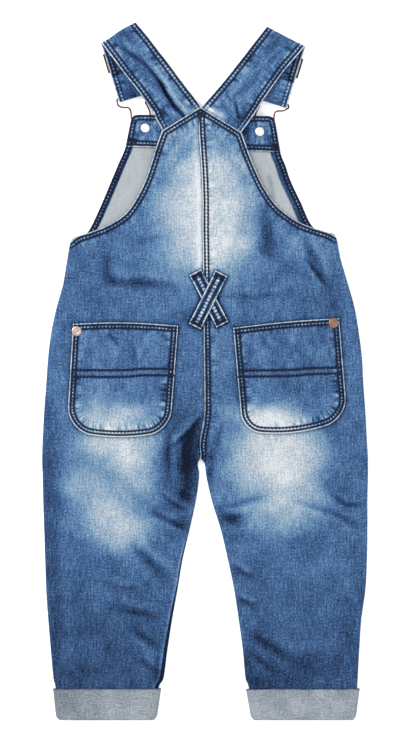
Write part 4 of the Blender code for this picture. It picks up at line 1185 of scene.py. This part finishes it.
def sew(points, ups, pitch=STITCH_PITCH, length=STITCH_LENGTH, slant=STITCH_SLANT, width=1.0):
    """Sets stitches at even spacing along a line on the cloth, in metres."""
    if len(points) < 2:
        return
    places = spaced(np.concatenate((points / MM, ups), axis=1), pitch, 3)
    middles = (places[1:, :3] + places[:-1, :3]) / 2
    up = places[1:, 3:] + places[:-1, 3:]
    up /= np.linalg.norm(up, axis=1)[:, None]
    along = places[1:, :3] - places[:-1, :3]
    run = np.linalg.norm(along, axis=1)
    along /= run[:, None]
    keep = (run < LONGEST_STEP * pitch) & (middles[:, 2] > LOWEST_STITCH)
    aside = np.cross(up, along)
    turn = np.radians(slant + RANDOM.normal(0, 3, len(along)))[:, None]
    along = along * np.cos(turn) + aside * np.sin(turn)
    table = (middles + up * STITCH_LIFT, along, up, run * length / pitch, np.full(len(run), width))
    STITCHES.append(np.column_stack(table)[keep])


def sew_on(line, surface, lift=0.0, **stitch):
    """Sews along a flat line, on the cloth below it or a wall's thickness above."""
    points, ups = laid_on(line, surface)
    sew(points + np.array((0, 0, lift * MM)), ups, **stitch)


def twin_rows(line, surface, inside, rows=(ROW_1, ROW_2), lift=0.0):
    """Both rows beside an edge; inside is 1 where the cloth is on the line's left, else -1."""
    for distance in rows:
        sew_on(spaced(beside_line(line, inside * distance), 1.0), surface, lift)


def part_of(line, low, high):
    """The part of a line between two heights."""
    return line[(line[:, 1] > low) & (line[:, 1] < high)]


def panel_stitches():
    backs = surface_of("back_panel_left", "back_panel_right")
    for side in SIDES:
        twin_rows(edge_line(side), backs, -1 if side == "left" else 1)
    twin_rows(part_of(centre_line(), -80, 256), backs, 1)


def pocket_stitches(side):
    surface = surface_of(f"patch_pocket_{side}")
    twin_rows(pocket_edge(side)[2:-2], surface, 1)
    twin_rows(pocket_place(side, np.linspace(0.01, 0.99, 60), 0.0), surface, -1)
    (top_left, top_right), (start, stop) = POCKETS[side][:2], MID_ROW_INSETS[side]
    left_x, right_x = top_left[0] - MID_ROW_PAST + start, top_right[0] + MID_ROW_PAST - stop
    step_x = [left_x + share * (right_x - left_x) for share in MID_ROW_STEP]
    for row in MID_ROWS[side]:
        table = np.stack(((left_x, *step_x, right_x), row), axis=-1)
        line = spaced(through(table, np.linspace(0, 1, 60)), 1.0)
        sew_on(line, surface, slant=22.0, width=1.2)


def tab_stitches(name):
    surface = surface_of(f"crossed_{name}")
    start, end, _, along, aside = tab_axes(name)
    short = along * TAB_ROW_END
    for away in (-TAB_ROW, TAB_ROW):
        line = spaced((start + aside * away + short, end + aside * away - short), 1.0)
        sew_on(line, surface, width=0.9)
    half = aside * TAB_TACK_HALF
    for tip, inward in ((start, along), (end, -along)):
        for step in TAB_TACKS:
            middle = tip + inward * step
            sew_on(spaced((middle - half, middle + half), 0.8), surface, **BAR_TACK)


def bib_stitches():
    """Rows round the facing and along its lower edge, bar-tacks at its ends, and the side hems."""
    on_bib, on_facing = surface_of("bib_sheet"), surface_of("facing_strip")
    left, right = bib_edge("left"), bib_edge("right")
    top = spaced((left[-1], right[-1]), 1.5)
    high_left, high_right = left[left[:, 1] > FACING_ENDS["left"]], right[right[:, 1] > FACING_ENDS["right"]]
    around = np.concatenate((high_left, top[1:-1], high_right[::-1]))
    twin_rows(around, on_facing, -1, HEM_ROWS, FACING_WALL)
    low_x = np.linspace(-74, 72, 80)
    twin_rows(np.stack((low_x, facing_bottom(low_x)), axis=-1), on_facing, 1, lift=FACING_WALL)
    inner_x, outer_x = FACING_TACK_X
    for sign, start_y in FACING_TACKS:
        for y in start_y - 2.2 * np.arange(3):
            line = spaced(((sign * inner_x, y), (sign * outer_x, y + 1.0)), 0.8)
            sew_on(line, on_facing, FACING_WALL, **BAR_TACK)
    for side, edge, inside in (("left", left, -1), ("right", right, 1)):
        twin_rows(part_of(edge, *HEM_ENDS[side]), on_bib, inside, HEM_ROWS, WALL)


def strap_stitches(path):
    """Rows along both edges on the outer face, and on the side that shows where it hangs down."""
    face = STRAP_WALL / 2
    for edge, inset, start in STRAP_ROWS:
        along = np.arange(path.starts[edge] + start, path.bar + 1.0, 1.0)
        outer, inner = path.edges(along)
        aside = inner - inset if edge else outer + inset
        relief = strap_relief(path.point(along, aside), along)
        points = path.point(along, aside, relief + face)
        ups = points - path.point(along, aside, relief + face - 0.5)
        ups /= np.linalg.norm(ups, axis=1)[:, None]
        sew(in_frame(points), ups, width=0.85)
        hanging = along > path.slider[0] - 14
        inside = path.point(along[hanging], aside[hanging], -face)
        sew(in_frame(inside), -ups[hanging])
    aside = np.arange(-STRAP_HALF + 1, STRAP_HALF - 1, 1.0)
    for sign in (1, -1):  # the sewn-back end's row, on both faces
        points = path.point(np.full_like(aside, path.bar - TAIL_ROW), aside, sign * face)
        sew(in_frame(points), np.array((0.0, 0.0, -sign)) + 0 * points)


def capsule():
    """One stitch along x, one unit long, with its radius as the unit across: points and faces."""
    sides = 6
    rings = ((-0.5, 0.35), (-0.36, 0.85), (0.0, 1.0), (0.36, 0.85), (0.5, 0.35))
    turn = np.arange(sides) * 2 * math.pi / sides
    points = [(x, r * math.cos(a), r * math.sin(a)) for x, r in rings for a in turn]
    faces = []
    for low in range(0, (len(rings) - 1) * sides, sides):
        for k in range(sides):
            beyond = (k + 1) % sides
            faces.append((low + k, low + beyond, low + sides + beyond, low + sides + k))
    last = (len(rings) - 1) * sides
    return np.array(points), faces + [tuple(range(sides))[::-1], tuple(range(last, last + sides))]


def topstitching():
    """Every stitch as one mesh."""
    shape, faces = capsule()
    table = np.concatenate(STITCHES)
    point, along, up, length, width = np.split(table, (3, 6, 9, 10), axis=1)
    radius = (width * STITCH_RADIUS)[:, None]
    aside = np.cross(up, along)
    aside /= np.linalg.norm(aside, axis=1)[:, None]
    up = np.cross(along, aside)
    corners = point[:, None] + shape[None, :, 0:1] * (along * length)[:, None]
    corners = corners + shape[None, :, 1:2] * aside[:, None] * radius
    corners = corners + shape[None, :, 2:3] * up[:, None] * radius * STITCH_FLATNESS
    firsts = range(0, len(point) * len(shape), len(shape))
    all_faces = [tuple(first + k for k in face) for first in firsts for face in faces]
    lay = np.repeat(np.arange(len(point)), len(shape))
    twist = np.stack((np.tile(shape[:, 0] * 3, len(point)), np.tile(shape[:, 1], len(point)), lay), axis=-1)
    points = corners.reshape(-1, 3) * MM
    mesh = smooth_mesh("topstitching", points, all_faces, ["thread"], {"cloth": twist})
    placed("topstitching", mesh, [])


# ---------------------------------------------------------------- wire, buttons and rivets
def wire(name, node, points, closed):
    """Round wire bent on a smooth line through points."""
    points = np.asarray(points, float)
    if closed:
        wrapped = np.concatenate((points[-2:], points, points[:3]))
        count = len(wrapped) - 1
        places = np.linspace(2 / count, (count - 3) / count + 1 / count, 12 * len(points), endpoint=False)
        fine = through(wrapped, places)
    else:
        fine = through(points, np.linspace(0, 1, 10 * len(points)))
    shape = bpy.data.curves.new(name, "CURVE")
    shape.dimensions = "3D"
    shape.bevel_depth = WIRE_RADIUS * MM
    shape.bevel_resolution = 4
    shape.use_fill_caps = not closed
    spline = shape.splines.new("POLY")
    spline.points.add(len(fine) - 1)
    for knot, place in zip(spline.points, in_frame(fine)):
        knot.co = (*place, 1.0)
    spline.use_cyclic_u = closed
    shape.materials.append(MATERIALS["copper_wire"])
    placed(name, shape, [node])


def rounded(corners, radius):
    points = []
    for i, corner in enumerate(corners):
        before, after = corners[i - 1], corners[(i + 1) % len(corners)]
        start = corner + (before - corner) / np.linalg.norm(before - corner) * radius
        end = corner + (after - corner) / np.linalg.norm(after - corner) * radius
        for t in np.linspace(0, 1, 7):
            points.append((1 - t) ** 2 * start + 2 * t * (1 - t) * corner + t * t * end)
    return points


def slider(side, path):
    """A wire frame beside the strap's edges, with a bar under the cloth."""
    half = STRAP_HALF + SEAM_GAP + WIRE_RADIUS + 0.2
    low, high = (place - path.bar for place in path.slider)
    corners = ((low, -half), (low, half), (high, half), (high, -half))
    outline = rounded([path.hanging(*corner) for corner in corners], 2.5)
    reach = half - WIRE_RADIUS - SEAM_GAP
    bar = [path.hanging((low + high) / 2, aside) for aside in np.linspace(-reach, reach, 5)]
    frame_points, bar_points = ([(*place, WIRE_RADIUS) for place in line] for line in (outline, bar))
    wire(f"slider_frame_{side}", f"slider_{side}", frame_points, True)
    wire(f"slider_crossbar_{side}", f"slider_bar_{side}", bar_points, False)


def buckle(side, path):
    """A closed wire: a bar in the strap's loop, two shoulders, and a keyhole round the button."""
    sign = -1 if side == "left" else 1
    button_place = np.array(BUTTONS[side])
    outline = [path.hanging(0.0, -aside) for aside in (0.0, *BUCKLE_BAR)]
    outline += [path.hanging(along, -aside) for along, aside in BUCKLE_CORNER]
    outline += [button_place + np.array((sign * out, up)) for out, up in BUCKLE_KEYHOLE]
    outline += [path.hanging(along, aside) for along, aside in reversed(BUCKLE_CORNER)]
    outline += [path.hanging(0.0, aside) for aside in reversed(BUCKLE_BAR)]
    points = [(*place, BUCKLE_LEVEL) for place in outline]
    wire(f"bib_buckle_{side}", f"buckle_{side}", points, True)


def turned(name, node, place, profile, look):
    """A round piece from its profile, which runs from the axis at the top to the axis below."""
    profile = spaced(profile, TURNED_SPACING)
    angle = np.arange(TURNED_STEPS) * 2 * math.pi / TURNED_STEPS
    radius, z = profile[:, 0][:, None], profile[:, 1][:, None]
    x, y = place[0] + radius * np.cos(angle), place[1] + radius * np.sin(angle)
    points = in_frame(np.stack((x, y, z + 0 * angle), axis=-1).reshape(-1, 3))
    faces = sheet_faces(len(profile), TURNED_STEPS, True).tolist()
    piece = placed(name, smooth_mesh(name, points, faces, [look], {}), [node])
    weld = piece.modifiers.new("weld", "WELD")
    weld.merge_threshold = 0.00001


def button(side):
    """A hollow head under the bib with its shank, and a domed cap on the facing."""
    under = float(bib_lift(*map(np.array, BUTTONS[side])))
    top = under - SEAM_GAP
    head = (
        (0, top), (2.0, top), (2.2, top - 0.3), (2.2, 2.6), (3.0, 2.3), (7.6, 2.3),
        (8.3, 2.0), (8.5, 1.4), (8.4, 0.8), (8.0, 0.3), (7.2, 0.0), (6.6, 0.0), (6.2, 0.35),
        (5.6, 0.55), (3.2, 0.45), (2.8, 0.1), (2.0, 0.0), (0, 0),
    )
    base = under + WALL + FACING_WALL + 2 * SEAM_GAP
    cap = (
        (0, base + 0.9), (0.7, base + 0.85), (1.1, base + 1.15), (2.6, base + 1.3),
        (3.7, base + 1.15), (4.35, base + 0.7), (4.6, base + 0.25), (4.6, base), (0, base),
    )
    place = BUTTONS[side]
    turned(f"bib_button_{side}", f"button_{side}", place, head, "copper_stud")
    turned(f"bib_button_cap_{side}", f"button_back_{side}", place, cap, "nickel_cap")


def rivet(side):
    """A dished rivet; the left one's plating is painted paler, a painted reflection."""
    x, y = RIVETS[side]
    base = float(back_level(np.array([x]), np.array([y]))[0]) + WALL + 2 * SEAM_GAP + 0.2
    profile = (
        (0, base + 1.0), (1.6, base + 0.95), (2.1, base + 0.8), (2.6, base + 1.0),
        (3.6, base + 1.1), (4.4, base + 0.85), (4.9, base + 0.4), (5.0, base), (0, base),
    )
    look = "bright_painted_stud" if side == "left" else "copper_stud"
    turned(f"pocket_rivet_{side}", f"rivet_{side}", (x, y), profile, look)


# ---------------------------------------------------------------- materials
# Indigo denim from unwashed to bleached: a place on the scale of wash, and the colour there
INDIGO = (
    (0.00, "#091226"), (0.08, "#15233d"), (0.21, "#253c5c"), (0.27, "#2b4366"),
    (0.33, "#335074"), (0.38, "#3a5a83"), (0.46, "#4c688c"), (0.56, "#5b7b95"),
    (0.70, "#7c8fa1"), (0.81, "#96a1ab"), (0.90, "#a8aeb4"), (1.00, "#b9bfc2"),
)
WEFT = ((0.00, "#252e3d"), (0.30, "#58616c"), (0.55, "#7b838a"), (0.75, "#959b9f"), (1.00, "#b1b4b5"))

# Across a seam, in millimetres from its edge: the tone under the rows (0.5 is no change), where
# the cloth stands up between the stitches, where the puckers are, and the worn edge.
SEAM_REACH = 16.0
# the darker tone under and beside the rows is painted shade
SEAM_PROFILE = (
    (0, (0.42, 0, 0, 0.5)), (0.4, (0.5, 0, 0, 1)), (0.8, (0.5, 0, 0, 0.9)), (1.25, (0.34, 0, 0, 0)),
    (2.3, (0.22, 0, 0, 0)), (3.1, (0.34, 0.4, 0, 0)), (3.95, (0.36, 1, 0, 0)), (4.8, (0.34, 0.4, 0, 0)),
    (5.6, (0.22, 0, 0, 0)), (6.7, (0.45, 0, 0.4, 0)), (8, (0.5, 0, 1, 0)), (11, (0.5, 0, 0.5, 0)),
    (16, (0.5, 0, 0, 0)),
)
# The weave's grain: size across and along in millimetres, detail, and how strongly it shows.
# Yarns are 0.5 mm apart, too fine to show from a step away, so the finest grain is drawn at
# 1.4 mm on the right side, and at 1.2 to 1.9 mm on the wrong side.
GRAIN = ((22.0, 26.0, 3.0, 0.15), (1.5, 12.0, 2.0, 0.21), (9.0, 1.6, 1.0, 0.10), (1.4, 1.7, 1.0, 0.31))
BIB_GRAIN = ((30.0, 40.0, 2.0, 0.10), (1.6, 12.0, 1.0, 0.08), (12.0, 1.4, 1.0, 0.06), (1.2, 1.6, 1.0, 0.12))
CUFF_GRAIN = ((20.0, 20.0, 2.0, 0.12), (1.6, 9.0, 1.0, 0.12), (9.0, 1.4, 1.0, 0.18), (1.9, 1.4, 1.0, 0.32))
TWILL_SPACING = 0.8
METALS = (  # key, name, pale and dark plating, roughness, and the wear's size in millimetres
    ("copper_wire", "copper-plated wire", "#74492f", "#3a2017", 0.38, 1.5),
    ("copper_stud", "copper-plated stud", "#a37c6f", "#77544a", 0.34, 1.2),
    # a paler copy of the copper stud, painting the left rivet's brighter reflection
    ("bright_painted_stud", "copper-plated stud, painted paler", "#c9b6af", "#a88d84", 0.36, 1.2),
    ("nickel_cap", "brushed nickel cap", "#e6e5e1", "#cfcfcb", 0.4, 1.0),
)


def linear(colour):
    """A hex sRGB colour as linear values."""
    shares = (int(colour[i : i + 2], 16) / 255 for i in (1, 3, 5))
    values = [s / 12.92 if s <= 0.04045 else ((s + 0.055) / 1.055) ** 2.4 for s in shares]
    return (*values, 1.0)


def add(tree, kind, *inputs, stops=(), **named):
    """A node of one kind. An input, by its place or its capitalised name, takes a value, a socket
    or a node, and a name in small letters is a setting."""
    node = tree.nodes.new("ShaderNode" + kind)
    places = dict(enumerate(inputs))
    for name, value in named.items():
        if name[0].islower():
            setattr(node, name, value)
        else:
            places[name] = value
    if stops:
        elements = node.color_ramp.elements
        for _ in stops[2:]:
            elements.new(0.5)
        for element, (position, colour) in zip(elements, stops):
            element.position = position
            element.color = colour
    for place, value in places.items():
        if isinstance(value, bpy.types.Node):
            value = value.outputs[0]
        if isinstance(value, bpy.types.NodeSocket):
            tree.links.new(value, node.inputs[place])
        else:
            node.inputs[place].default_value = value
    return node


def blank(name):
    """A new material, with its node tree and its shader."""
    made = bpy.data.materials.new(name)
    made.use_nodes = True
    return made, made.node_tree, made.node_tree.nodes["Principled BSDF"]


def dress(tree, shader, tone, colours, height, strength, depth):
    """Gives a shader its colours along a tone, and its relief, whose depth is in metres."""
    stops = [(at, linear(colour)) for at, colour in colours]
    colour = add(tree, "ValToRGB", tone, stops=stops)
    tree.links.new(colour.outputs[0], shader.inputs["Base Color"])
    bump = add(tree, "Bump", Height=height, Strength=strength, Distance=depth)
    tree.links.new(bump.outputs[0], shader.inputs["Normal"])


def grained(tree, layers):
    """The cloth's wash and painted shade with layers of uneven grain: the place on the cloth, the tone, and
    the last layer's speckle."""
    place = add(tree, "Attribute", attribute_name="cloth").outputs["Vector"]
    tone = add(tree, "Attribute", attribute_name="wash_and_shade").outputs["Fac"]
    for across, along, detail, weight in layers:
        scaled = add(tree, "VectorMath", place, (1 / across, 1 / along, 1.0), operation="MULTIPLY")
        noise = add(tree, "TexNoise", Vector=scaled, Scale=1.0, Detail=detail)
        centred = add(tree, "Math", noise, 2 * weight, -weight, operation="MULTIPLY_ADD")
        tone = add(tree, "Math", tone, centred, operation="ADD")
    return place, tone, noise


def seam_tone(tree, mark, tone):
    """Adds to a tone what a sewn edge does to the denim, with painted shade along its rows, and gives its
    relief.
    """
    seam = add(tree, "Attribute", attribute_name=mark).outputs["Vector"]
    away, along, edge = add(tree, "SeparateXYZ", seam).outputs
    across = add(tree, "Math", away, SEAM_REACH, operation="DIVIDE")
    stops = [(distance / SEAM_REACH, values) for distance, values in SEAM_PROFILE]
    profile = add(tree, "ValToRGB", across, stops=stops)
    under, between, puckers = add(tree, "SeparateColor", profile).outputs
    # the rows' painted shade, darkest on each row
    rows = add(tree, "Math", under, 1.3, -0.65, operation="MULTIPLY_ADD")
    place = add(tree, "CombineXYZ", along, away, edge)

    # Cloth stands up between one stitch and the next, more in some places than in others
    turn = add(tree, "Math", along, 2 * math.pi / STITCH_PITCH, operation="MULTIPLY")
    wave = add(tree, "Math", turn, operation="SINE")
    beads = add(tree, "Math", wave, 0.5, 0.45, operation="MULTIPLY_ADD")
    wander = add(tree, "VectorMath", place, (0.11, 0.3, 7.0), operation="MULTIPLY")
    patchy = add(tree, "TexNoise", Vector=wander, Scale=1.0, Detail=1.0)
    for part in (patchy, between, 1.15):
        beads = add(tree, "Math", beads, part, operation="MULTIPLY")

    # Puckers run away from the seam, darker with painted shade and paler with wear, as strong as the cloth
    # is gathered, and rub its edge unevenly
    stretch = add(tree, "VectorMath", place, (0.30, 0.07, 3.0), operation="MULTIPLY")
    uneven_pull = add(tree, "TexNoise", Vector=stretch, Scale=1.0, Detail=1.5)
    ripple = add(tree, "Math", uneven_pull, 1.8, -0.86, operation="MULTIPLY_ADD")
    gather = add(tree, "Attribute", attribute_name="gather").outputs["Fac"]
    for part in (puckers, gather):
        ripple = add(tree, "Math", ripple, part, operation="MULTIPLY")
    rubbed = add(tree, "Math", uneven_pull, 1.3, -0.1, operation="MULTIPLY_ADD")
    worn = add(tree, "Math", profile.outputs["Alpha"], edge, operation="MULTIPLY")
    worn = add(tree, "Math", worn, rubbed, operation="MULTIPLY")

    for part in (rows, beads, ripple, worn):
        tone = add(tree, "Math", tone, part, operation="ADD")
    return tone, add(tree, "Math", rows, beads, operation="ADD")


def denim(name):
    """Washed indigo twill.

    The warp is dyed and the weft is white, so worn places and ridges turn pale, and slubs in the
    yarn show as streaks along the cloth. It is dull: the open yarns swallow nearly all its shine.
    """
    made, tree, shader = blank(name)
    place, tone, speckle = grained(tree, GRAIN)
    tone, relief_1 = seam_tone(tree, "seam_1", tone)
    tone, relief_2 = seam_tone(tree, "seam_2", tone)
    # Twill ridges run up to the right. The slope is 1.5 long, and 0.67 brings it back to 1.
    slope = add(tree, "VectorMath", place, (0.9, 1.2, 0.0), operation="DOT_PRODUCT")
    ridges = 2 * math.pi / TWILL_SPACING * 0.67
    turn = add(tree, "Math", slope.outputs["Value"], ridges, operation="MULTIPLY")
    twill = add(tree, "Math", turn, operation="SINE")
    height = add(tree, "Math", twill, 0.05, speckle, operation="MULTIPLY_ADD")
    for relief in (relief_1, relief_2):
        height = add(tree, "Math", height, relief, operation="ADD")
    dress(tree, shader, tone, INDIGO, height, 0.8, 0.0006)
    shader.inputs["Roughness"].default_value = 0.9
    shader.inputs["Specular IOR Level"].default_value = 0.1
    return made


def wrong_side(name, layers):
    """Denim's wrong side: mostly the white weft, with the dyed warp showing as grey-blue flecks."""
    made, tree, shader = blank(name)
    _, tone, speckle = grained(tree, layers)
    dress(tree, shader, tone, WEFT, speckle, 0.6, 0.0004)
    shader.inputs["Roughness"].default_value = 0.92
    shader.inputs["Specular IOR Level"].default_value = 0.1
    return made


def thread(name):
    """Spun polyester thread, navy, with a slight shine and its twist as fine slanting ridges."""
    made, tree, shader = blank(name)
    place = add(tree, "Attribute", attribute_name="cloth").outputs["Vector"]
    noise = add(tree, "TexNoise", Vector=place, Scale=0.9, Detail=1.0)
    slope = add(tree, "VectorMath", place, (7.0, 3.0, 0.0), operation="DOT_PRODUCT")
    twist = add(tree, "Math", slope.outputs["Value"], operation="SINE")
    dress(tree, shader, noise, ((0.3, "#04061a"), (0.7, "#0d1130")), twist, 0.5, 0.0001)
    shader.inputs["Roughness"].default_value = 0.6
    shader.inputs["Specular IOR Level"].default_value = 0.2
    return made


def metal(name, pale, dark, roughness, wear):
    """Plated metal, tumbled smooth, with fine wear that varies its colour and shine."""
    made, tree, shader = blank(name)
    place = add(tree, "TexCoord").outputs["Object"]
    scaled = add(tree, "VectorMath", place, operation="SCALE", Scale=1 / (wear * MM))
    noise = add(tree, "TexNoise", Vector=scaled, Scale=1.0, Detail=3.0)
    dress(tree, shader, noise, ((0.35, dark), (0.65, pale)), noise, 0.25, 0.0001)
    rough = add(tree, "MapRange", noise, 0.3, 0.7, roughness + 0.1, roughness - 0.06)
    tree.links.new(rough.outputs[0], shader.inputs["Roughness"])
    shader.inputs["Metallic"].default_value = 1.0
    return made


def paper(name):
    """White paper on a light table, whose faint glow keeps the shadows pale."""
    made, _, shader = blank(name)
    shader.inputs["Base Color"].default_value = linear("#ffffff")
    shader.inputs["Emission Color"].default_value = linear("#ffffff")
    shader.inputs["Emission Strength"].default_value = 0.2
    shader.inputs["Roughness"].default_value = 1.0
    shader.inputs["Specular IOR Level"].default_value = 0.0
    return made


def make_materials():
    MATERIALS["denim"] = denim("stone-washed denim")
    MATERIALS["wrong_side"] = wrong_side("denim wrong side", BIB_GRAIN)
    MATERIALS["turned_cloth"] = wrong_side("turned-up wrong side", CUFF_GRAIN)
    MATERIALS["thread"] = thread("navy spun thread")
    for key, name, pale, dark, roughness, wear in METALS:
        MATERIALS[key] = metal(name, pale, dark, roughness, wear)


# ---------------------------------------------------------------- floor, light and camera
CAMERA_HEIGHT = 3.0
FRAME_MIDDLE = (2.9 * MM, -4.6 * MM)
FRAME_LENGTH = 735.5 * MM  # what the frame's long side takes in at the garment
CLOTH_MIDDLE = 6.0 * MM
SENSOR = 36.0
SKY_STRENGTH = 1.16
FLOOR_SIZE = 6.0
FLOOR_Z = -0.1 * MM
SOFTBOXES = (  # name, place, side in metres, and power
    ("key", (-1.1, 0.9, 1.1), 0.9, 22.0),
    ("fill", (1.3, -0.9, 1.2), 1.4, 8.0),
)


def floor():
    bpy.ops.mesh.primitive_plane_add(size=FLOOR_SIZE, location=(0, 0, FLOOR_Z))
    plane = bpy.context.active_object
    plane.name = "paper_floor"
    plane.data.materials.append(paper("white paper"))


def softbox(name, place, side, power):
    lamp = bpy.data.lights.new(name, "AREA")
    lamp.shape = "RECTANGLE"
    lamp.size = lamp.size_y = side
    lamp.energy = power
    made = bpy.data.objects.new(name, lamp)
    made.location = place
    made.rotation_mode = "QUATERNION"
    made.rotation_quaternion = (-Vector(place)).to_track_quat("-Z", "Y")
    bpy.context.scene.collection.objects.link(made)


def light():
    """A white sky and two soft boxes, the stronger at the upper left."""
    world = bpy.data.worlds.new("studio")
    world.use_nodes = True
    background = world.node_tree.nodes["Background"]
    background.inputs["Color"].default_value = (1.0, 1.0, 1.0, 1.0)
    background.inputs["Strength"].default_value = SKY_STRENGTH
    bpy.context.scene.world = world
    bpy.context.scene.view_settings.view_transform = "Standard"
    for box in SOFTBOXES:
        softbox(*box)


def camera():
    """Straight above, far enough away to see the part nearly flat."""
    lens = bpy.data.cameras.new("camera")
    lens.sensor_width = SENSOR
    lens.lens = SENSOR * (CAMERA_HEIGHT - CLOTH_MIDDLE) / FRAME_LENGTH
    lens.clip_end = 20.0
    made = bpy.data.objects.new("camera", lens)
    made.location = (*FRAME_MIDDLE, CAMERA_HEIGHT)
    scene = bpy.context.scene
    scene.collection.objects.link(made)
    scene.camera = made


def garment():
    """Every piece, then the sewing in its order."""
    for side in SIDES:
        path = StrapPath(side)
        back_panel(side)
        front_leg(side)
        strap(side, path)
        pocket(side)
        turn_up(side)
        slider(side, path)
        buckle(side, path)
        button(side)
        rivet(side)
        strap_stitches(path)
    bib()
    facing()
    for name in TABS:
        tab(name)
    panel_stitches()
    for side in SIDES:
        pocket_stitches(side)
    for name in TABS:
        tab_stitches(name)
    bib_stitches()
    topstitching()


light()
camera()
floor()
make_materials()
garment()
